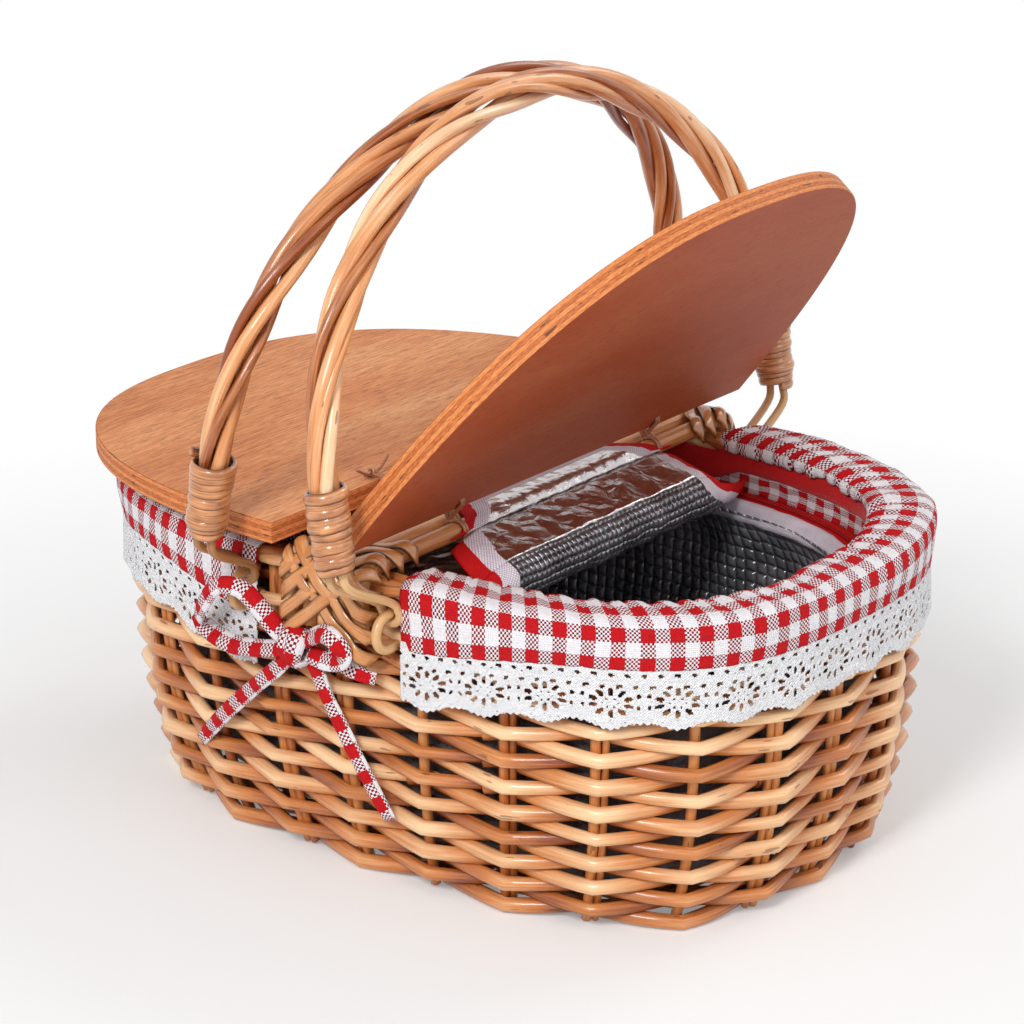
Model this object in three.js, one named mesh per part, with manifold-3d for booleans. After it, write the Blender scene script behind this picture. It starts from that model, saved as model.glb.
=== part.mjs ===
import * as THREE from 'three';
import { mergeVertices } from 'three/addons/utils/BufferGeometryUtils.js';
import Module from 'manifold-3d';

const wasm = await Module();
wasm.setup();

// Millimetres. The origin is on the floor under the basket's middle.
// X runs along the basket, Y runs across it along the hinge bar, and Z is up.

// Clearances
const gap = 0.3;
const looseGap = 0.4;

// Woven side and base
const sideHalfLength = 178;
const sideHalfWidth = 125;
const sideOvalPower = 3;
const sideHeight = 135;
const sideThickness = 14;
const footInset = 14.5;
const footCurvePower = 3.4;
const innerLevelShares = [1, 0.6, 0.3, 0.15, 0.06, 0];
const baseThickness = 8;
const baseGroove = 2.4;
const baseRibWidth = 9;
const baseRibs = 3;
const stakeCount = 24;
const stakeRadius = 2.4;
const weaveRodRadius = 2.9;
const weaveRowPitch = 6.2;
const weaveTopDrop = 36;

// Border rods round the top of the side
const borderRodRadius = 4.3;
const borderRodSpacing = 8.9;
const borderRodSides = 6;

// Hinge bar
const barRodRadius = 4;
const barRodSides = 8;
const barBendSteps = 4;
const barInnerSpacing = 8.3;
const barOuterPlace = 18.6;
const barEndDrop = 16;

// Cane that holds the bar's ends
const lashingThickness = 1.1;
const lashingWidth = 2.4;
const lashingPitch = 3.1;
const lashingTurns = 5;
const lashingEndSteps = 4;

// Lids
const lidOverhangAlong = 22;
const lidOverhangAcross = 16;
const lidOvalPower = 2.6;
const lidThickness = 9.4;
const lidEdgePlace = 21.5;
const lidAxisPlace = 16;
const lidRaised = THREE.MathUtils.degToRad(51.25);
const lidOutlineSteps = 30;

// Twine ties
const twineThickness = 1.4;
const twineSides = 5;
const twineLoopSteps = 12;
const tieShare = 0.56;
const tieHoleInset = 7;
const tieHoleRadius = 1.7;
const tieHoleSides = 10;

// Cuff, lace and inner bands
const cuffOpenLeft = -56;
const cuffOpenRight = 42;
const cuffHemDrop = 5.8;
const cuffHemOffset = 4.2;
const cuffBackOffset = 2.1;
const cuffBulge = 8.3;
const cuffBulgeRise = 6.8;
const cuffBulgeEase = 0.3;
const cuffBulgeOverRim = 1;
const cuffShoulderOffset = 4.5;
const cuffShoulderDrop = 2;
const cuffCrownStart = 3;
const cuffCrownEnd = 11;
const cuffInnerReach = 18.8;
const cuffInnerRound = 1.8;
const cuffInnerDrop = 4;
const cuffInnerFoot = 2;
const cuffInnerHem = 15.4;
const laceWidth = 29.5;
const laceOffset = 0.5;
const laceThickness = 1.3;
const laceFlare = 1.2;
const bandThickness = 1.5;
const bandInset = 16.3;
const plushThickness = 3.2;
const plushHeight = 7.4;

// Cooler bag
const bagRoom = 1;
const bagDrop = 13;
const bagFoam = 3;
const bagCornerInset = 7;
const bagLevelShares = [0.135, 0.45];
const liningThickness = 0.8;
const liningDrop = 3;
const liningGap = 0.5;
const zipTapeThickness = 1.4;
const zipTapeWidth = 10.4;
const twillWidth = 6;
const sliderLength = 9;
const sliderWidth = 6;
const sliderHeight = 3;
const sliderPullLength = 16;
const sliderPullWidth = 3.4;
const sliderPullThickness = 1.2;
const sliderPullPlace = 11;
const sliderTrackInset = 5.6;
const sliderAngle = -0.9;

// Padded cover of the bag
const coverThickness = 3;
const coverFoldPlace = 49;
const coverTurnRadius = 8.2;
const coverPanelReach = 26.3;
const coverEndReach = 24.5;
const coverEdgeRoom = 1;
const coverNarrowing = 12;
const coverEndPower = 2.1;
const coverOutlineSteps = 32;
const coverRise = THREE.MathUtils.degToRad(12);
const coverTuck = THREE.MathUtils.degToRad(19.4);

// Handles
const eyePlaces = { left: -48, right: 33 };
const eyeDrop = 2.5;
const eyeRodRadius = 2.2;
const eyeBendRadius = 7.75;
const eyeRodSides = 6;
const eyeBendSteps = 8;
const linkRodRadius = 1.9;
const linkPlace = 3;
const linkLegStart = 5;
const linkLegSteps = 6;
const linkLeanStart = 1;
const linkLeanEnd = 22;
const linkOverlap = 9.5;
const handleLidRoom = 8.5;
const handleTopHeight = 327;
const handleTopPlace = 8.4;
const handleTopShift = -5;
const handleFootRadius = 6.4;
const handleTopRadius = 7.9;
const handleArchPower = 1.95;
const handleArchSteps = 30;
const handleSwellStart = 0.03;
const handleSwellEnd = 0.3;
const handleTwists = 1.75;
const handleLobes = 4;
const handleLobeDepth = 1;
const bindingStart = 25.5;
const bindingHeight = 37;
const bindingThickness = 1.7;
const bindingWidth = 2.9;
const bindingTurns = 9;
const bindingTurnSteps = 8;

// Bow
const bowStripRadius = 3.2;
const bowStripSides = 5;
const knotCentre = [-13, 9, 10];
const knotSize = [9, 6, 8];

// Heights and places worked out from the sizes above
const borderHeight = sideHeight + gap + borderRodRadius;
const borderMiddle = sideThickness / 2;
const barHeight = borderHeight + borderRodRadius + gap + barRodRadius;
const lidUnderside = barHeight + barRodRadius + gap + twineThickness + gap;
const lidAxisHeight = lidUnderside + gap;
const cuffTop = lidUnderside - gap;
const barEndHeight = sideHeight - barEndDrop;
const cuffHemHeight = sideHeight - cuffHemDrop;
const bagHeight = sideHeight - bagDrop;
const tiePlaces = { near: -tieShare * sideHalfWidth, far: tieShare * sideHalfWidth };
const eyeUpperHeight = sideHeight - eyeDrop;
const lidHalfLength = sideHalfLength + lidOverhangAlong;
const lidHalfWidth = sideHalfWidth + lidOverhangAcross;
const bindingOuterRadius = handleFootRadius + looseGap + bindingThickness;
const handleHalfSpan = lidHalfWidth + handleLidRoom + bindingOuterRadius;
const barRodPlaces = [-barOuterPlace, -barInnerSpacing, 0, barInnerSpacing, barOuterPlace];
const rimTopHeight = borderHeight + borderRodRadius;

const materials = {
  willow: { color: 0xcf9453, roughness: 0.45 },
  willowPale: { color: 0xdcae74, roughness: 0.45 },
  cane: { color: 0xb9784a, roughness: 0.35 },
  rattan: { color: 0xd2ab78, roughness: 0.5 },
  plywood: { color: 0xb87650, roughness: 0.45 },
  twine: { color: 0xc99a72, roughness: 0.8 },
  gingham: { color: 0xc8484a, roughness: 0.9 },
  lace: { color: 0xf0f0f2, roughness: 0.9 },
  redCloth: { color: 0xc01818, roughness: 0.9 },
  twill: { color: 0xb4a8b4, roughness: 0.85 },
  foamCloth: { color: 0x8f9296, roughness: 0.6 },
  foil: { color: 0xc4c6ca, roughness: 0.25, metalness: 0.9 },
};

const basket = new THREE.Group();

function piece(name, geometry, material, parent = basket) {
  const mesh = new THREE.Mesh(geometry, new THREE.MeshStandardMaterial(materials[material]));
  mesh.name = name;
  parent.add(mesh);
  return mesh;
}

// Shapes that several pieces share

function ovalPoint(halfLength, halfWidth, power, angle) {
  const along = Math.abs(Math.cos(angle) / halfLength) ** power;
  const across = Math.abs(Math.sin(angle) / halfWidth) ** power;
  const reach = (along + across) ** (-1 / power);
  return new THREE.Vector2(reach * Math.cos(angle), reach * Math.sin(angle));
}

function ovalHalfWidthAt(halfLength, halfWidth, power, x) {
  return halfWidth * (1 - (Math.abs(x) / halfLength) ** power) ** (1 / power);
}

function sideInset(height) {
  const share = THREE.MathUtils.clamp(height / sideHeight, 0, 1);
  return footInset * (1 - share) ** footCurvePower;
}

// Outside of the woven side at a place along the basket
function sideFaceAt(x, height) {
  const inset = sideInset(height);
  return ovalHalfWidthAt(sideHalfLength - inset, sideHalfWidth - inset, sideOvalPower, x);
}

function signedVolume(points, faces) {
  return faces.reduce((sum, [a, b, c]) => {
    const cross = new THREE.Vector3().crossVectors(points[b], points[c]);
    return sum + points[a].dot(cross) / 6;
  }, 0);
}

function closedMesh(points, faces) {
  const turned = signedVolume(points, faces) < 0 ? faces.map(([a, b, c]) => [a, c, b]) : faces;
  const geometry = new THREE.BufferGeometry();
  geometry.setFromPoints(points);
  geometry.setIndex(turned.flat());
  return geometry;
}

// Skin through a row of sections with the same number of points.
// It is closed as a ring, or capped at both ends.
function skin(sections, ring) {
  const count = sections[0].length;
  const points = sections.flat();
  const faces = [];
  const last = ring ? sections.length : sections.length - 1;
  for (let i = 0; i < last; i += 1) {
    const here = i * count;
    const next = ((i + 1) % sections.length) * count;
    for (let j = 0; j < count; j += 1) {
      const k = (j + 1) % count;
      faces.push([here + j, next + j, next + k], [here + j, next + k, here + k]);
    }
  }
  if (!ring) {
    const flat = flatten(sections[0]);
    const cap = THREE.ShapeUtils.triangulateShape(flat, []);
    const end = (sections.length - 1) * count;
    const sense = capSense(cap);
    cap.forEach(([a, b, c]) => {
      faces.push(sense ? [a, b, c] : [a, c, b]);
      faces.push(sense ? [end + a, end + c, end + b] : [end + a, end + b, end + c]);
    });
  }
  return closedMesh(points, faces);
}

// A section's points in its own plane
function flatten(section) {
  const across = section[1].clone().sub(section[0]).normalize();
  const middle = new THREE.Vector3();
  section.forEach((p) => middle.addScaledVector(p, 1 / section.length));
  let normal = new THREE.Vector3();
  section.forEach((p, i) => {
    const q = section[(i + 1) % section.length];
    normal.add(new THREE.Vector3().crossVectors(p.clone().sub(middle), q.clone().sub(middle)));
  });
  normal = normal.normalize();
  const up = new THREE.Vector3().crossVectors(normal, across);
  return section.map((p) => {
    const arm = p.clone().sub(middle);
    return new THREE.Vector2(arm.dot(across), arm.dot(up));
  });
}

// True when the cap's triangles run along the first edge from its first point to its second
function capSense(cap) {
  return cap.some(([a, b, c]) => (a === 0 && b === 1) || (b === 0 && c === 1) || (c === 0 && a === 1));
}

// A section's points of [outward offset from the side, height], stood up at one angle of the basket's oval
function sectionAt(angle, section) {
  return section.map(([offset, height]) => {
    const p = ovalPoint(sideHalfLength + offset, sideHalfWidth + offset, sideOvalPower, angle);
    return new THREE.Vector3(p.x, p.y, height);
  });
}

// Oval ring or open oval band with the same section all the way
function ovalBand(section, angles, ring) {
  return skin(angles.map((angle) => sectionAt(angle, section)), ring);
}

function roundAngles(steps) {
  return Array.from({ length: steps }, (_, i) => (i / steps) * 2 * Math.PI);
}

function evenSteps(from, to, steps) {
  return Array.from({ length: steps + 1 }, (_, i) => THREE.MathUtils.lerp(from, to, i / steps));
}

// Angles that are equal steps apart along the middle of the side
function evenWalk(steps) {
  const fine = roundAngles(30 * steps);
  const middle = fine.map((angle) => ovalPoint(
    sideHalfLength - sideThickness / 2,
    sideHalfWidth - sideThickness / 2,
    sideOvalPower,
    angle,
  ));
  const walked = [0];
  middle.forEach((p, i) => walked.push(walked[i] + p.distanceTo(middle[(i + 1) % middle.length])));
  const whole = walked[middle.length];
  return Array.from({ length: steps }, (_, i) => {
    const goal = (i / steps) * whole;
    const after = walked.findIndex((length) => length > goal);
    const share = (goal - walked[after - 1]) / (walked[after] - walked[after - 1]);
    return (after - 1 + share) * (2 * Math.PI / fine.length);
  });
}

// The round of the basket has a corner at each stake and between them.
// All its rings and bands use these corners, so that neighbours lie face to face.
const ovalSteps = 2 * stakeCount;
const ovalAngles = evenWalk(ovalSteps);

function ovalAnglesBetween(from, to) {
  const margin = Math.PI / ovalSteps;
  const whole = [-1, 0, 1].flatMap((turn) => ovalAngles.map((a) => a + turn * 2 * Math.PI));
  return [from, ...whole.filter((a) => a > from + margin && a < to - margin), to];
}

// Solid oval body through rings of [outward offset, height], closed by a middle point at each end
function ovalBody(rings) {
  const steps = ovalAngles.length;
  const points = rings.flatMap(([offset, height]) => ovalAngles.map((angle) => {
    const p = ovalPoint(sideHalfLength + offset, sideHalfWidth + offset, sideOvalPower, angle);
    return new THREE.Vector3(p.x, p.y, height);
  }));
  const faces = [];
  for (let i = 0; i < rings.length - 1; i += 1) {
    for (let j = 0; j < steps; j += 1) {
      const k = (j + 1) % steps;
      const here = i * steps;
      const next = here + steps;
      faces.push([here + j, here + k, next + k], [here + j, next + k, next + j]);
    }
  }
  const start = points.length;
  points.push(new THREE.Vector3(0, 0, rings[0][1]), new THREE.Vector3(0, 0, rings[rings.length - 1][1]));
  const lastRing = (rings.length - 1) * steps;
  for (let j = 0; j < steps; j += 1) {
    const k = (j + 1) % steps;
    faces.push([start, k, j], [start + 1, lastRing + j, lastRing + k]);
  }
  return closedMesh(points, faces);
}

// A route that is followed point by point, so that bends keep the steps they need
class Route extends THREE.Curve {
  constructor(points) {
    super();
    this.points = points;
  }

  getPoint(t) {
    const place = THREE.MathUtils.clamp(t, 0, 1) * (this.points.length - 1);
    const index = Math.min(Math.floor(place), this.points.length - 2);
    return this.points[index].clone().lerp(this.points[index + 1], place - index);
  }

  getPointAt(t) {
    return this.getPoint(t);
  }

  getTangentAt(t) {
    const index = Math.round(t * (this.points.length - 1));
    const before = this.points[Math.max(index - 1, 0)];
    const after = this.points[Math.min(index + 1, this.points.length - 1)];
    return after.clone().sub(before).normalize();
  }
}

function rodAlong(points, radius, sides) {
  const corners = roundAngles(sides).map((a) => new THREE.Vector2(radius * Math.cos(a), radius * Math.sin(a)));
  return new THREE.ExtrudeGeometry(new THREE.Shape(corners), {
    steps: points.length - 1,
    extrudePath: new Route(points),
    bevelEnabled: false,
  });
}

// Flat cane wound upward turn on turn. The outline is one turn seen from above; both ends run on straight.
function woundCane(outline, turns, pitch, start, thickness, width) {
  const steps = outline.length;
  const count = turns * steps;
  const route = Array.from({ length: count + 1 }, (_, i) => {
    const p = outline[i % steps];
    return new THREE.Vector3(p.x, p.y, start + (i / steps) * pitch);
  });
  const straight = (from, to) => to.clone().sub(from).setLength(width).add(to);
  route.unshift(straight(route[1], route[0]));
  route.push(straight(route[count], route[count + 1]));
  const sections = route.map((p, i) => {
    const before = route[Math.max(i - 1, 0)];
    const after = route[Math.min(i + 1, route.length - 1)];
    const along = after.clone().sub(before).setZ(0).normalize();
    const out = new THREE.Vector3(along.y, -along.x, 0).multiplyScalar(thickness / 2);
    const up = new THREE.Vector3(0, 0, width / 2);
    return [[1, 1], [1, -1], [-1, -1], [-1, 1]].map(([a, b]) => p.clone()
      .addScaledVector(out, a).addScaledVector(up, b));
  });
  return skin(sections, false);
}

// Least gap between one turn of a wound cane and the next, measured on the points of its route
function turnGap(outline, pitch, width) {
  const next = outline.map((p, i) => Math.hypot(p.distanceTo(outline[i]), pitch));
  return Math.min(...next) - width;
}

function toSolid(geometry) {
  const bare = geometry.clone();
  bare.deleteAttribute('normal');
  bare.deleteAttribute('uv');
  const merged = mergeVertices(bare, 0.0001);
  return new wasm.Manifold(new wasm.Mesh({
    numProp: 3,
    vertProperties: new Float32Array(merged.attributes.position.array),
    triVerts: new Uint32Array(merged.index.array),
  }));
}

function toGeometry(solid) {
  const mesh = solid.getMesh();
  const geometry = new THREE.BufferGeometry();
  geometry.setAttribute('position', new THREE.BufferAttribute(mesh.vertProperties, 3));
  geometry.setIndex(new THREE.BufferAttribute(mesh.triVerts, 1));
  return geometry;
}

function placed(geometry, x, y, z) {
  return geometry.clone().translate(x, y, z);
}

// Woven side. Below the lace it has the main relief of its weave: a row of rods is farthest out where it
// passes in front of a stake, and the wall is thinnest between stakes and between rows.
const stakeDepth = sideThickness / 2 - stakeRadius;
const rodDepth = sideThickness / 2 - weaveRodRadius;
const weaveTop = sideHeight - weaveTopDrop;

function rowHeights() {
  const rows = [];
  let height = weaveRodRadius;
  while (height < weaveTop) {
    rows.push(height);
    const slope = sideInset(height) - sideInset(height + 1);
    height += weaveRowPitch / Math.hypot(1, slope);
  }
  return rows;
}

function weaveDepth(column, row) {
  if (column % 2 === 1) return rodDepth;
  return (column / 2 + row) % 2 === 0 ? 0 : stakeDepth;
}

function sideSection(column) {
  const rows = rowHeights();
  const hollow = column % 2 === 1 ? sideThickness / 2 : stakeDepth;
  const outer = [[hollow, 0]];
  rows.forEach((height, row) => {
    const next = rows[row + 1] ?? weaveTop + weaveRowPitch / 2;
    outer.push([weaveDepth(column, row), height], [hollow, (height + next) / 2]);
  });
  outer.push([0, weaveTop + weaveRowPitch], [0, sideHeight]);
  const inner = innerLevelShares.map((share) => [sideThickness, share * sideHeight]);
  return [...outer, ...inner].map(([depth, height]) => [-sideInset(height) - depth, height]);
}

const wovenSide = skin(ovalAngles.map((angle, column) => sectionAt(angle, sideSection(column))), true);
piece('woven_side', wovenSide, 'willow');

// Woven base, with the ribs of its outer rounds on the underside
function baseUnderside(edge) {
  const rings = [];
  for (let rib = baseRibs; rib > 0; rib -= 1) {
    const inner = edge - rib * baseRibWidth;
    rings.push([inner, 0], [inner + baseRibWidth / 2, baseGroove]);
  }
  return rings;
}

const baseEdge = -sideInset(0) - sideThickness - looseGap;
piece('woven_base', ovalBody([
  ...baseUnderside(baseEdge),
  [baseEdge, 0],
  [-sideInset(baseThickness) - sideThickness - looseGap, baseThickness],
]), 'willow');

// Border rods
function borderRod(offset) {
  const section = roundAngles(borderRodSides).map((a) => [
    offset + borderRodRadius * Math.sin(a),
    borderHeight + borderRodRadius * Math.cos(a),
  ]);
  return ovalBand(section, ovalAngles, true);
}

piece('border_rod_outer', borderRod(-borderMiddle + borderRodSpacing / 2), 'willow');
piece('border_rod_inner', borderRod(-borderMiddle - borderRodSpacing / 2), 'willow');

// Hinge bar: each rod crosses the basket and bends down over the border at both ends
const borderOuterCentre = sideHalfWidth - borderMiddle + borderRodSpacing / 2;
const barBendRadius = borderRodRadius + gap + barRodRadius;
const barEndReach = borderOuterCentre + barBendRadius;

function barRod(x) {
  const bend = evenSteps(0, Math.PI / 2, barBendSteps).map((a) => new THREE.Vector3(
    x,
    borderOuterCentre + barBendRadius * Math.cos(a),
    borderHeight + barBendRadius * Math.sin(a),
  ));
  const half = [new THREE.Vector3(x, barEndReach, barEndHeight), ...bend];
  const other = half.map((p) => new THREE.Vector3(p.x, -p.y, p.z)).reverse();
  return rodAlong([...half, ...other], barRodRadius, barRodSides);
}

barRodPlaces.forEach((x, i) => piece(`hinge_bar_rod_${i + 1}`, barRod(x), 'willowPale'));

// Cane wound round the bar's ends, one unbroken strip a side
function lashingOutline(side) {
  const reach = (barRodRadius + looseGap + lashingThickness / 2) / Math.cos(Math.PI / (2 * lashingEndSteps));
  const end = (from) => evenSteps(from, from + Math.PI, lashingEndSteps).map((a) => new THREE.Vector2(
    Math.sign(Math.cos(from + Math.PI / 2)) * barOuterPlace + reach * Math.cos(a),
    barEndReach + reach * Math.sin(a),
  ));
  return [...end(Math.PI / 2), ...end(-Math.PI / 2)].map((p) => new THREE.Vector2(p.x, side * p.y));
}

[['near', -1], ['far', 1]].forEach(([where, side]) => {
  const start = barEndHeight + lashingWidth;
  const outline = lashingOutline(side);
  const cane = woundCane(outline, lashingTurns, lashingPitch, start, lashingThickness, lashingWidth);
  piece(`bar_lashing_${where}`, cane, 'cane');
});

// Lids: half ovals with one straight edge, drilled for the twine ties
function lidOutline() {
  const edgeHalf = ovalHalfWidthAt(lidHalfLength, lidHalfWidth, lidOvalPower, lidEdgePlace);
  const start = Math.atan2(edgeHalf, lidEdgePlace);
  return evenSteps(-start, start, lidOutlineSteps)
    .map((angle) => ovalPoint(lidHalfLength, lidHalfWidth, lidOvalPower, angle));
}

function lidPlate() {
  const shape = new THREE.Shape(lidOutline());
  Object.values(tiePlaces).forEach((y) => {
    shape.holes.push(new THREE.Path(roundAngles(tieHoleSides).map((a) => new THREE.Vector2(
      lidEdgePlace + tieHoleInset + tieHoleRadius * Math.cos(a),
      y - tieHoleRadius * Math.sin(a),
    ))));
  });
  const plate = new THREE.ExtrudeGeometry(shape, { depth: lidThickness, bevelEnabled: false });
  return plate.translate(-lidAxisPlace, 0, lidUnderside - lidAxisHeight);
}

// Twine loop through a lid's hole and round its straight edge, drawn down to the axis the lid turns about
function lidTwine() {
  const edge = lidEdgePlace - lidAxisPlace;
  const below = lidUnderside - lidAxisHeight - gap;
  const above = below + lidThickness + 2 * gap;
  const holeMiddle = edge + tieHoleInset;
  const half = twineThickness / 2;
  const shape = new THREE.Shape([
    new THREE.Vector2(-half, below - twineThickness),
    new THREE.Vector2(holeMiddle + half, below - twineThickness),
    new THREE.Vector2(holeMiddle + half, above + twineThickness),
    new THREE.Vector2(edge - gap - half, above + twineThickness),
    new THREE.Vector2(-half, half),
  ]);
  shape.holes.push(new THREE.Path([
    new THREE.Vector2(twineThickness, below),
    new THREE.Vector2(edge - 2 * gap, above),
    new THREE.Vector2(holeMiddle - half, above),
    new THREE.Vector2(holeMiddle - half, below),
  ]));
  const loop = new THREE.ExtrudeGeometry(shape, { depth: twineThickness, bevelEnabled: false });
  return loop.rotateX(Math.PI / 2).translate(0, half, 0);
}

// Twine loop round the bar's outer rod, beside the loop in the lid
function rodTwine() {
  const reach = barRodRadius + gap + twineThickness / 2;
  const loop = new THREE.TorusGeometry(reach, twineThickness / 2, twineSides, twineLoopSteps);
  return loop.rotateX(Math.PI / 2);
}

// side is 1 for the right lid and -1 for the left one, which is the same lid turned half round
function addLid(name, side, raised) {
  const facing = new THREE.Group();
  facing.rotation.z = side > 0 ? 0 : Math.PI;
  const hinge = new THREE.Group();
  hinge.position.set(lidAxisPlace, 0, lidAxisHeight);
  hinge.rotation.y = -raised;
  facing.add(hinge);
  basket.add(facing);
  piece(`lid_${name}`, lidPlate(), 'plywood', hinge);
  Object.entries(tiePlaces).forEach(([place, y]) => {
    const where = side > 0 ? place : { near: 'far', far: 'near' }[place];
    const beside = y + twineThickness + gap;
    piece(`twine_lid_${name}_${where}`, placed(lidTwine(), 0, y, 0), 'twine', hinge);
    piece(`twine_rod_${name}_${where}`, placed(rodTwine(), barOuterPlace, beside, barHeight), 'twine', facing);
  });
}

addLid('right', 1, lidRaised);
addLid('left', -1, 0);

// Gingham cuff over the border, crochet lace under its hem, and the bands inside the rim
const cuffSection = [
  [cuffHemOffset, cuffHemHeight],
  [cuffBulge - cuffBulgeEase, cuffHemHeight + cuffBulgeRise],
  [cuffBulge, rimTopHeight + cuffBulgeOverRim],
  [cuffShoulderOffset, cuffTop - cuffShoulderDrop],
  [-cuffCrownStart, cuffTop],
  [-cuffCrownEnd, cuffTop],
  [-cuffInnerReach + cuffInnerRound, cuffTop - cuffInnerDrop / 3],
  [-cuffInnerReach, cuffTop - cuffInnerDrop],
  [-cuffInnerReach, rimTopHeight + cuffInnerFoot],
  [-cuffInnerHem, rimTopHeight + looseGap],
  [cuffBackOffset, rimTopHeight + looseGap],
  [cuffBackOffset, cuffHemHeight],
];

const laceTop = cuffHemHeight - gap;
const laceSection = [
  [laceOffset, laceTop - laceWidth],
  [laceOffset + laceThickness, laceTop - laceWidth],
  [laceOffset + laceThickness + laceFlare, laceTop],
  [laceOffset, laceTop],
];

function openAngle(x, side) {
  return Math.atan2(side * sideFaceAt(x, sideHeight), x);
}

const rightArc = ovalAnglesBetween(openAngle(cuffOpenRight, -1), openAngle(cuffOpenRight, 1));
const leftArc = ovalAnglesBetween(openAngle(cuffOpenLeft, 1), openAngle(cuffOpenLeft, -1) + 2 * Math.PI);
piece('cuff_right', ovalBand(cuffSection, rightArc, false), 'gingham');
piece('cuff_left', ovalBand(cuffSection, leftArc, false), 'gingham');
piece('lace_right', ovalBand(laceSection, rightArc, false), 'lace');
piece('lace_left', ovalBand(laceSection, leftArc, false), 'lace');

function innerBand(bottom, height, thickness) {
  return ovalBand([
    [-bandInset, bottom],
    [-bandInset, bottom + height],
    [-bandInset - thickness, bottom + height],
    [-bandInset - thickness, bottom],
  ], ovalAngles, true);
}

const zipBottom = bagHeight + gap;
const zipTop = zipBottom + zipTapeThickness;
const bandBottom = zipTop + gap;
const plushBottom = rimTopHeight - plushHeight;
piece('gingham_band', innerBand(bandBottom, plushBottom - gap - bandBottom, bandThickness), 'gingham');
piece('plush_band', innerBand(plushBottom, plushHeight, plushThickness), 'redCloth');

// Cooler bag: a foam and cloth shell with a foil lining, and the zip tape round its mouth
function bagOffset(height) {
  return -sideInset(height) - sideThickness - bagRoom;
}

const bagLevels = bagLevelShares.map((share) => share * sideHeight);

function cup(wall, floor, floorThickness, top, thickness) {
  const levels = [...bagLevels, top];
  const outer = levels.map((height) => [bagOffset(height) - wall, height]);
  const inner = levels.map((height) => [bagOffset(height) - wall - thickness, height]).reverse();
  const cornerOuter = bagOffset(bagLevels[0]) - wall - bagCornerInset;
  return ovalBody([
    [cornerOuter, floor],
    ...outer,
    ...inner,
    [cornerOuter - thickness, floor + floorThickness],
  ]);
}

const bagFloor = baseThickness + gap;
const bagInside = bagFloor + bagFoam;
piece('bag_shell', cup(0, bagFloor, bagFoam, bagHeight, bagFoam), 'foamCloth');
const liningTop = bagHeight - liningDrop;
const lining = cup(bagFoam + liningGap, bagInside + gap, liningThickness, liningTop, liningThickness);
piece('bag_lining', lining, 'foil');

function flatRing(outer, width, bottom, thickness) {
  return ovalBand([
    [-outer, bottom],
    [-outer, bottom + thickness],
    [-outer - width, bottom + thickness],
    [-outer - width, bottom],
  ], ovalAngles, true);
}

piece('zip_tape', flatRing(bandInset, zipTapeWidth, zipBottom, zipTapeThickness), 'redCloth');
piece('twill_binding', flatRing(bandInset + zipTapeWidth + gap, twillWidth, zipBottom, zipTapeThickness), 'twill');

// Padded cover: one panel lies over the left part of the mouth, two more lie folded back on it
const coverBottom = zipTop + gap;
const coverMiddle = coverBottom + coverThickness / 2;
const coverInset = bandInset + bandThickness + coverEdgeRoom;
const coverHalfLength = sideHalfLength - coverInset;
const coverHalfWidth = sideHalfWidth - coverInset;

// Half width of the cover at a place along the basket. Its folded end is rounder than the zip's mouth.
function coverHalfAt(x, power) {
  return ovalHalfWidthAt(coverHalfLength, coverHalfWidth, power, x);
}

function coverBaseShape() {
  const edge = coverFoldPlace - gap;
  const start = Math.atan2(coverHalfAt(edge, sideOvalPower), edge);
  return new THREE.Shape(evenSteps(start, 2 * Math.PI - start, coverOutlineSteps)
    .map((angle) => ovalPoint(coverHalfLength, coverHalfWidth, sideOvalPower, angle)));
}

// A folding panel lies along its own X from 0 to its reach, as wide as the mouth where it ends up when shut
function coverPanel(shutFrom, reach) {
  const edge = evenSteps(0, reach, 4)
    .map((x) => new THREE.Vector2(x, coverHalfAt(shutFrom + x, coverEndPower) - coverNarrowing));
  const shape = new THREE.Shape([...edge, ...edge.map((p) => new THREE.Vector2(p.x, -p.y)).reverse()]);
  const plate = new THREE.ExtrudeGeometry(shape, { depth: coverThickness, bevelEnabled: false });
  return plate.translate(0, 0, -coverThickness / 2);
}

const coverBase = new THREE.ExtrudeGeometry(coverBaseShape(), { depth: coverThickness, bevelEnabled: false });
piece('cover_base', placed(coverBase, 0, 0, coverBottom), 'foil');

const coverAxisHeight = coverMiddle + coverTurnRadius;
const coverHinge = new THREE.Group();
coverHinge.position.set(coverFoldPlace, 0, coverAxisHeight);
coverHinge.rotation.y = -(Math.PI - coverRise);
basket.add(coverHinge);
const innerPanel = piece('cover_inner_panel', coverPanel(coverFoldPlace, coverPanelReach), 'foil', coverHinge);
innerPanel.position.z = -coverTurnRadius;

const panelPivotDrop = (coverThickness + gap) / 2;
const panelPivot = new THREE.Group();
panelPivot.position.set(coverPanelReach - panelPivotDrop, 0, -coverTurnRadius + panelPivotDrop);
panelPivot.rotation.y = Math.PI + coverTuck - coverRise;
coverHinge.add(panelPivot);
const outerFrom = coverFoldPlace + coverPanelReach;
const outerPanel = piece('cover_outer_panel', coverPanel(outerFrom, coverEndReach), 'foil', panelPivot);
outerPanel.position.set(panelPivotDrop + gap, 0, -panelPivotDrop);

// Zip slider at the end of its track, with its pull
const sliderBody = new THREE.BoxGeometry(sliderLength, sliderWidth, sliderHeight);
const sliderPull = new THREE.BoxGeometry(sliderPullLength, sliderPullWidth, sliderPullThickness);
const slider = toGeometry(toSolid(sliderBody).add(toSolid(placed(sliderPull, sliderPullPlace, 0, 0))));
const sliderInset = bandInset + bandThickness + sliderTrackInset;

function zipTrack(angle) {
  return ovalPoint(sideHalfLength - sliderInset, sideHalfWidth - sliderInset, sideOvalPower, angle);
}

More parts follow.
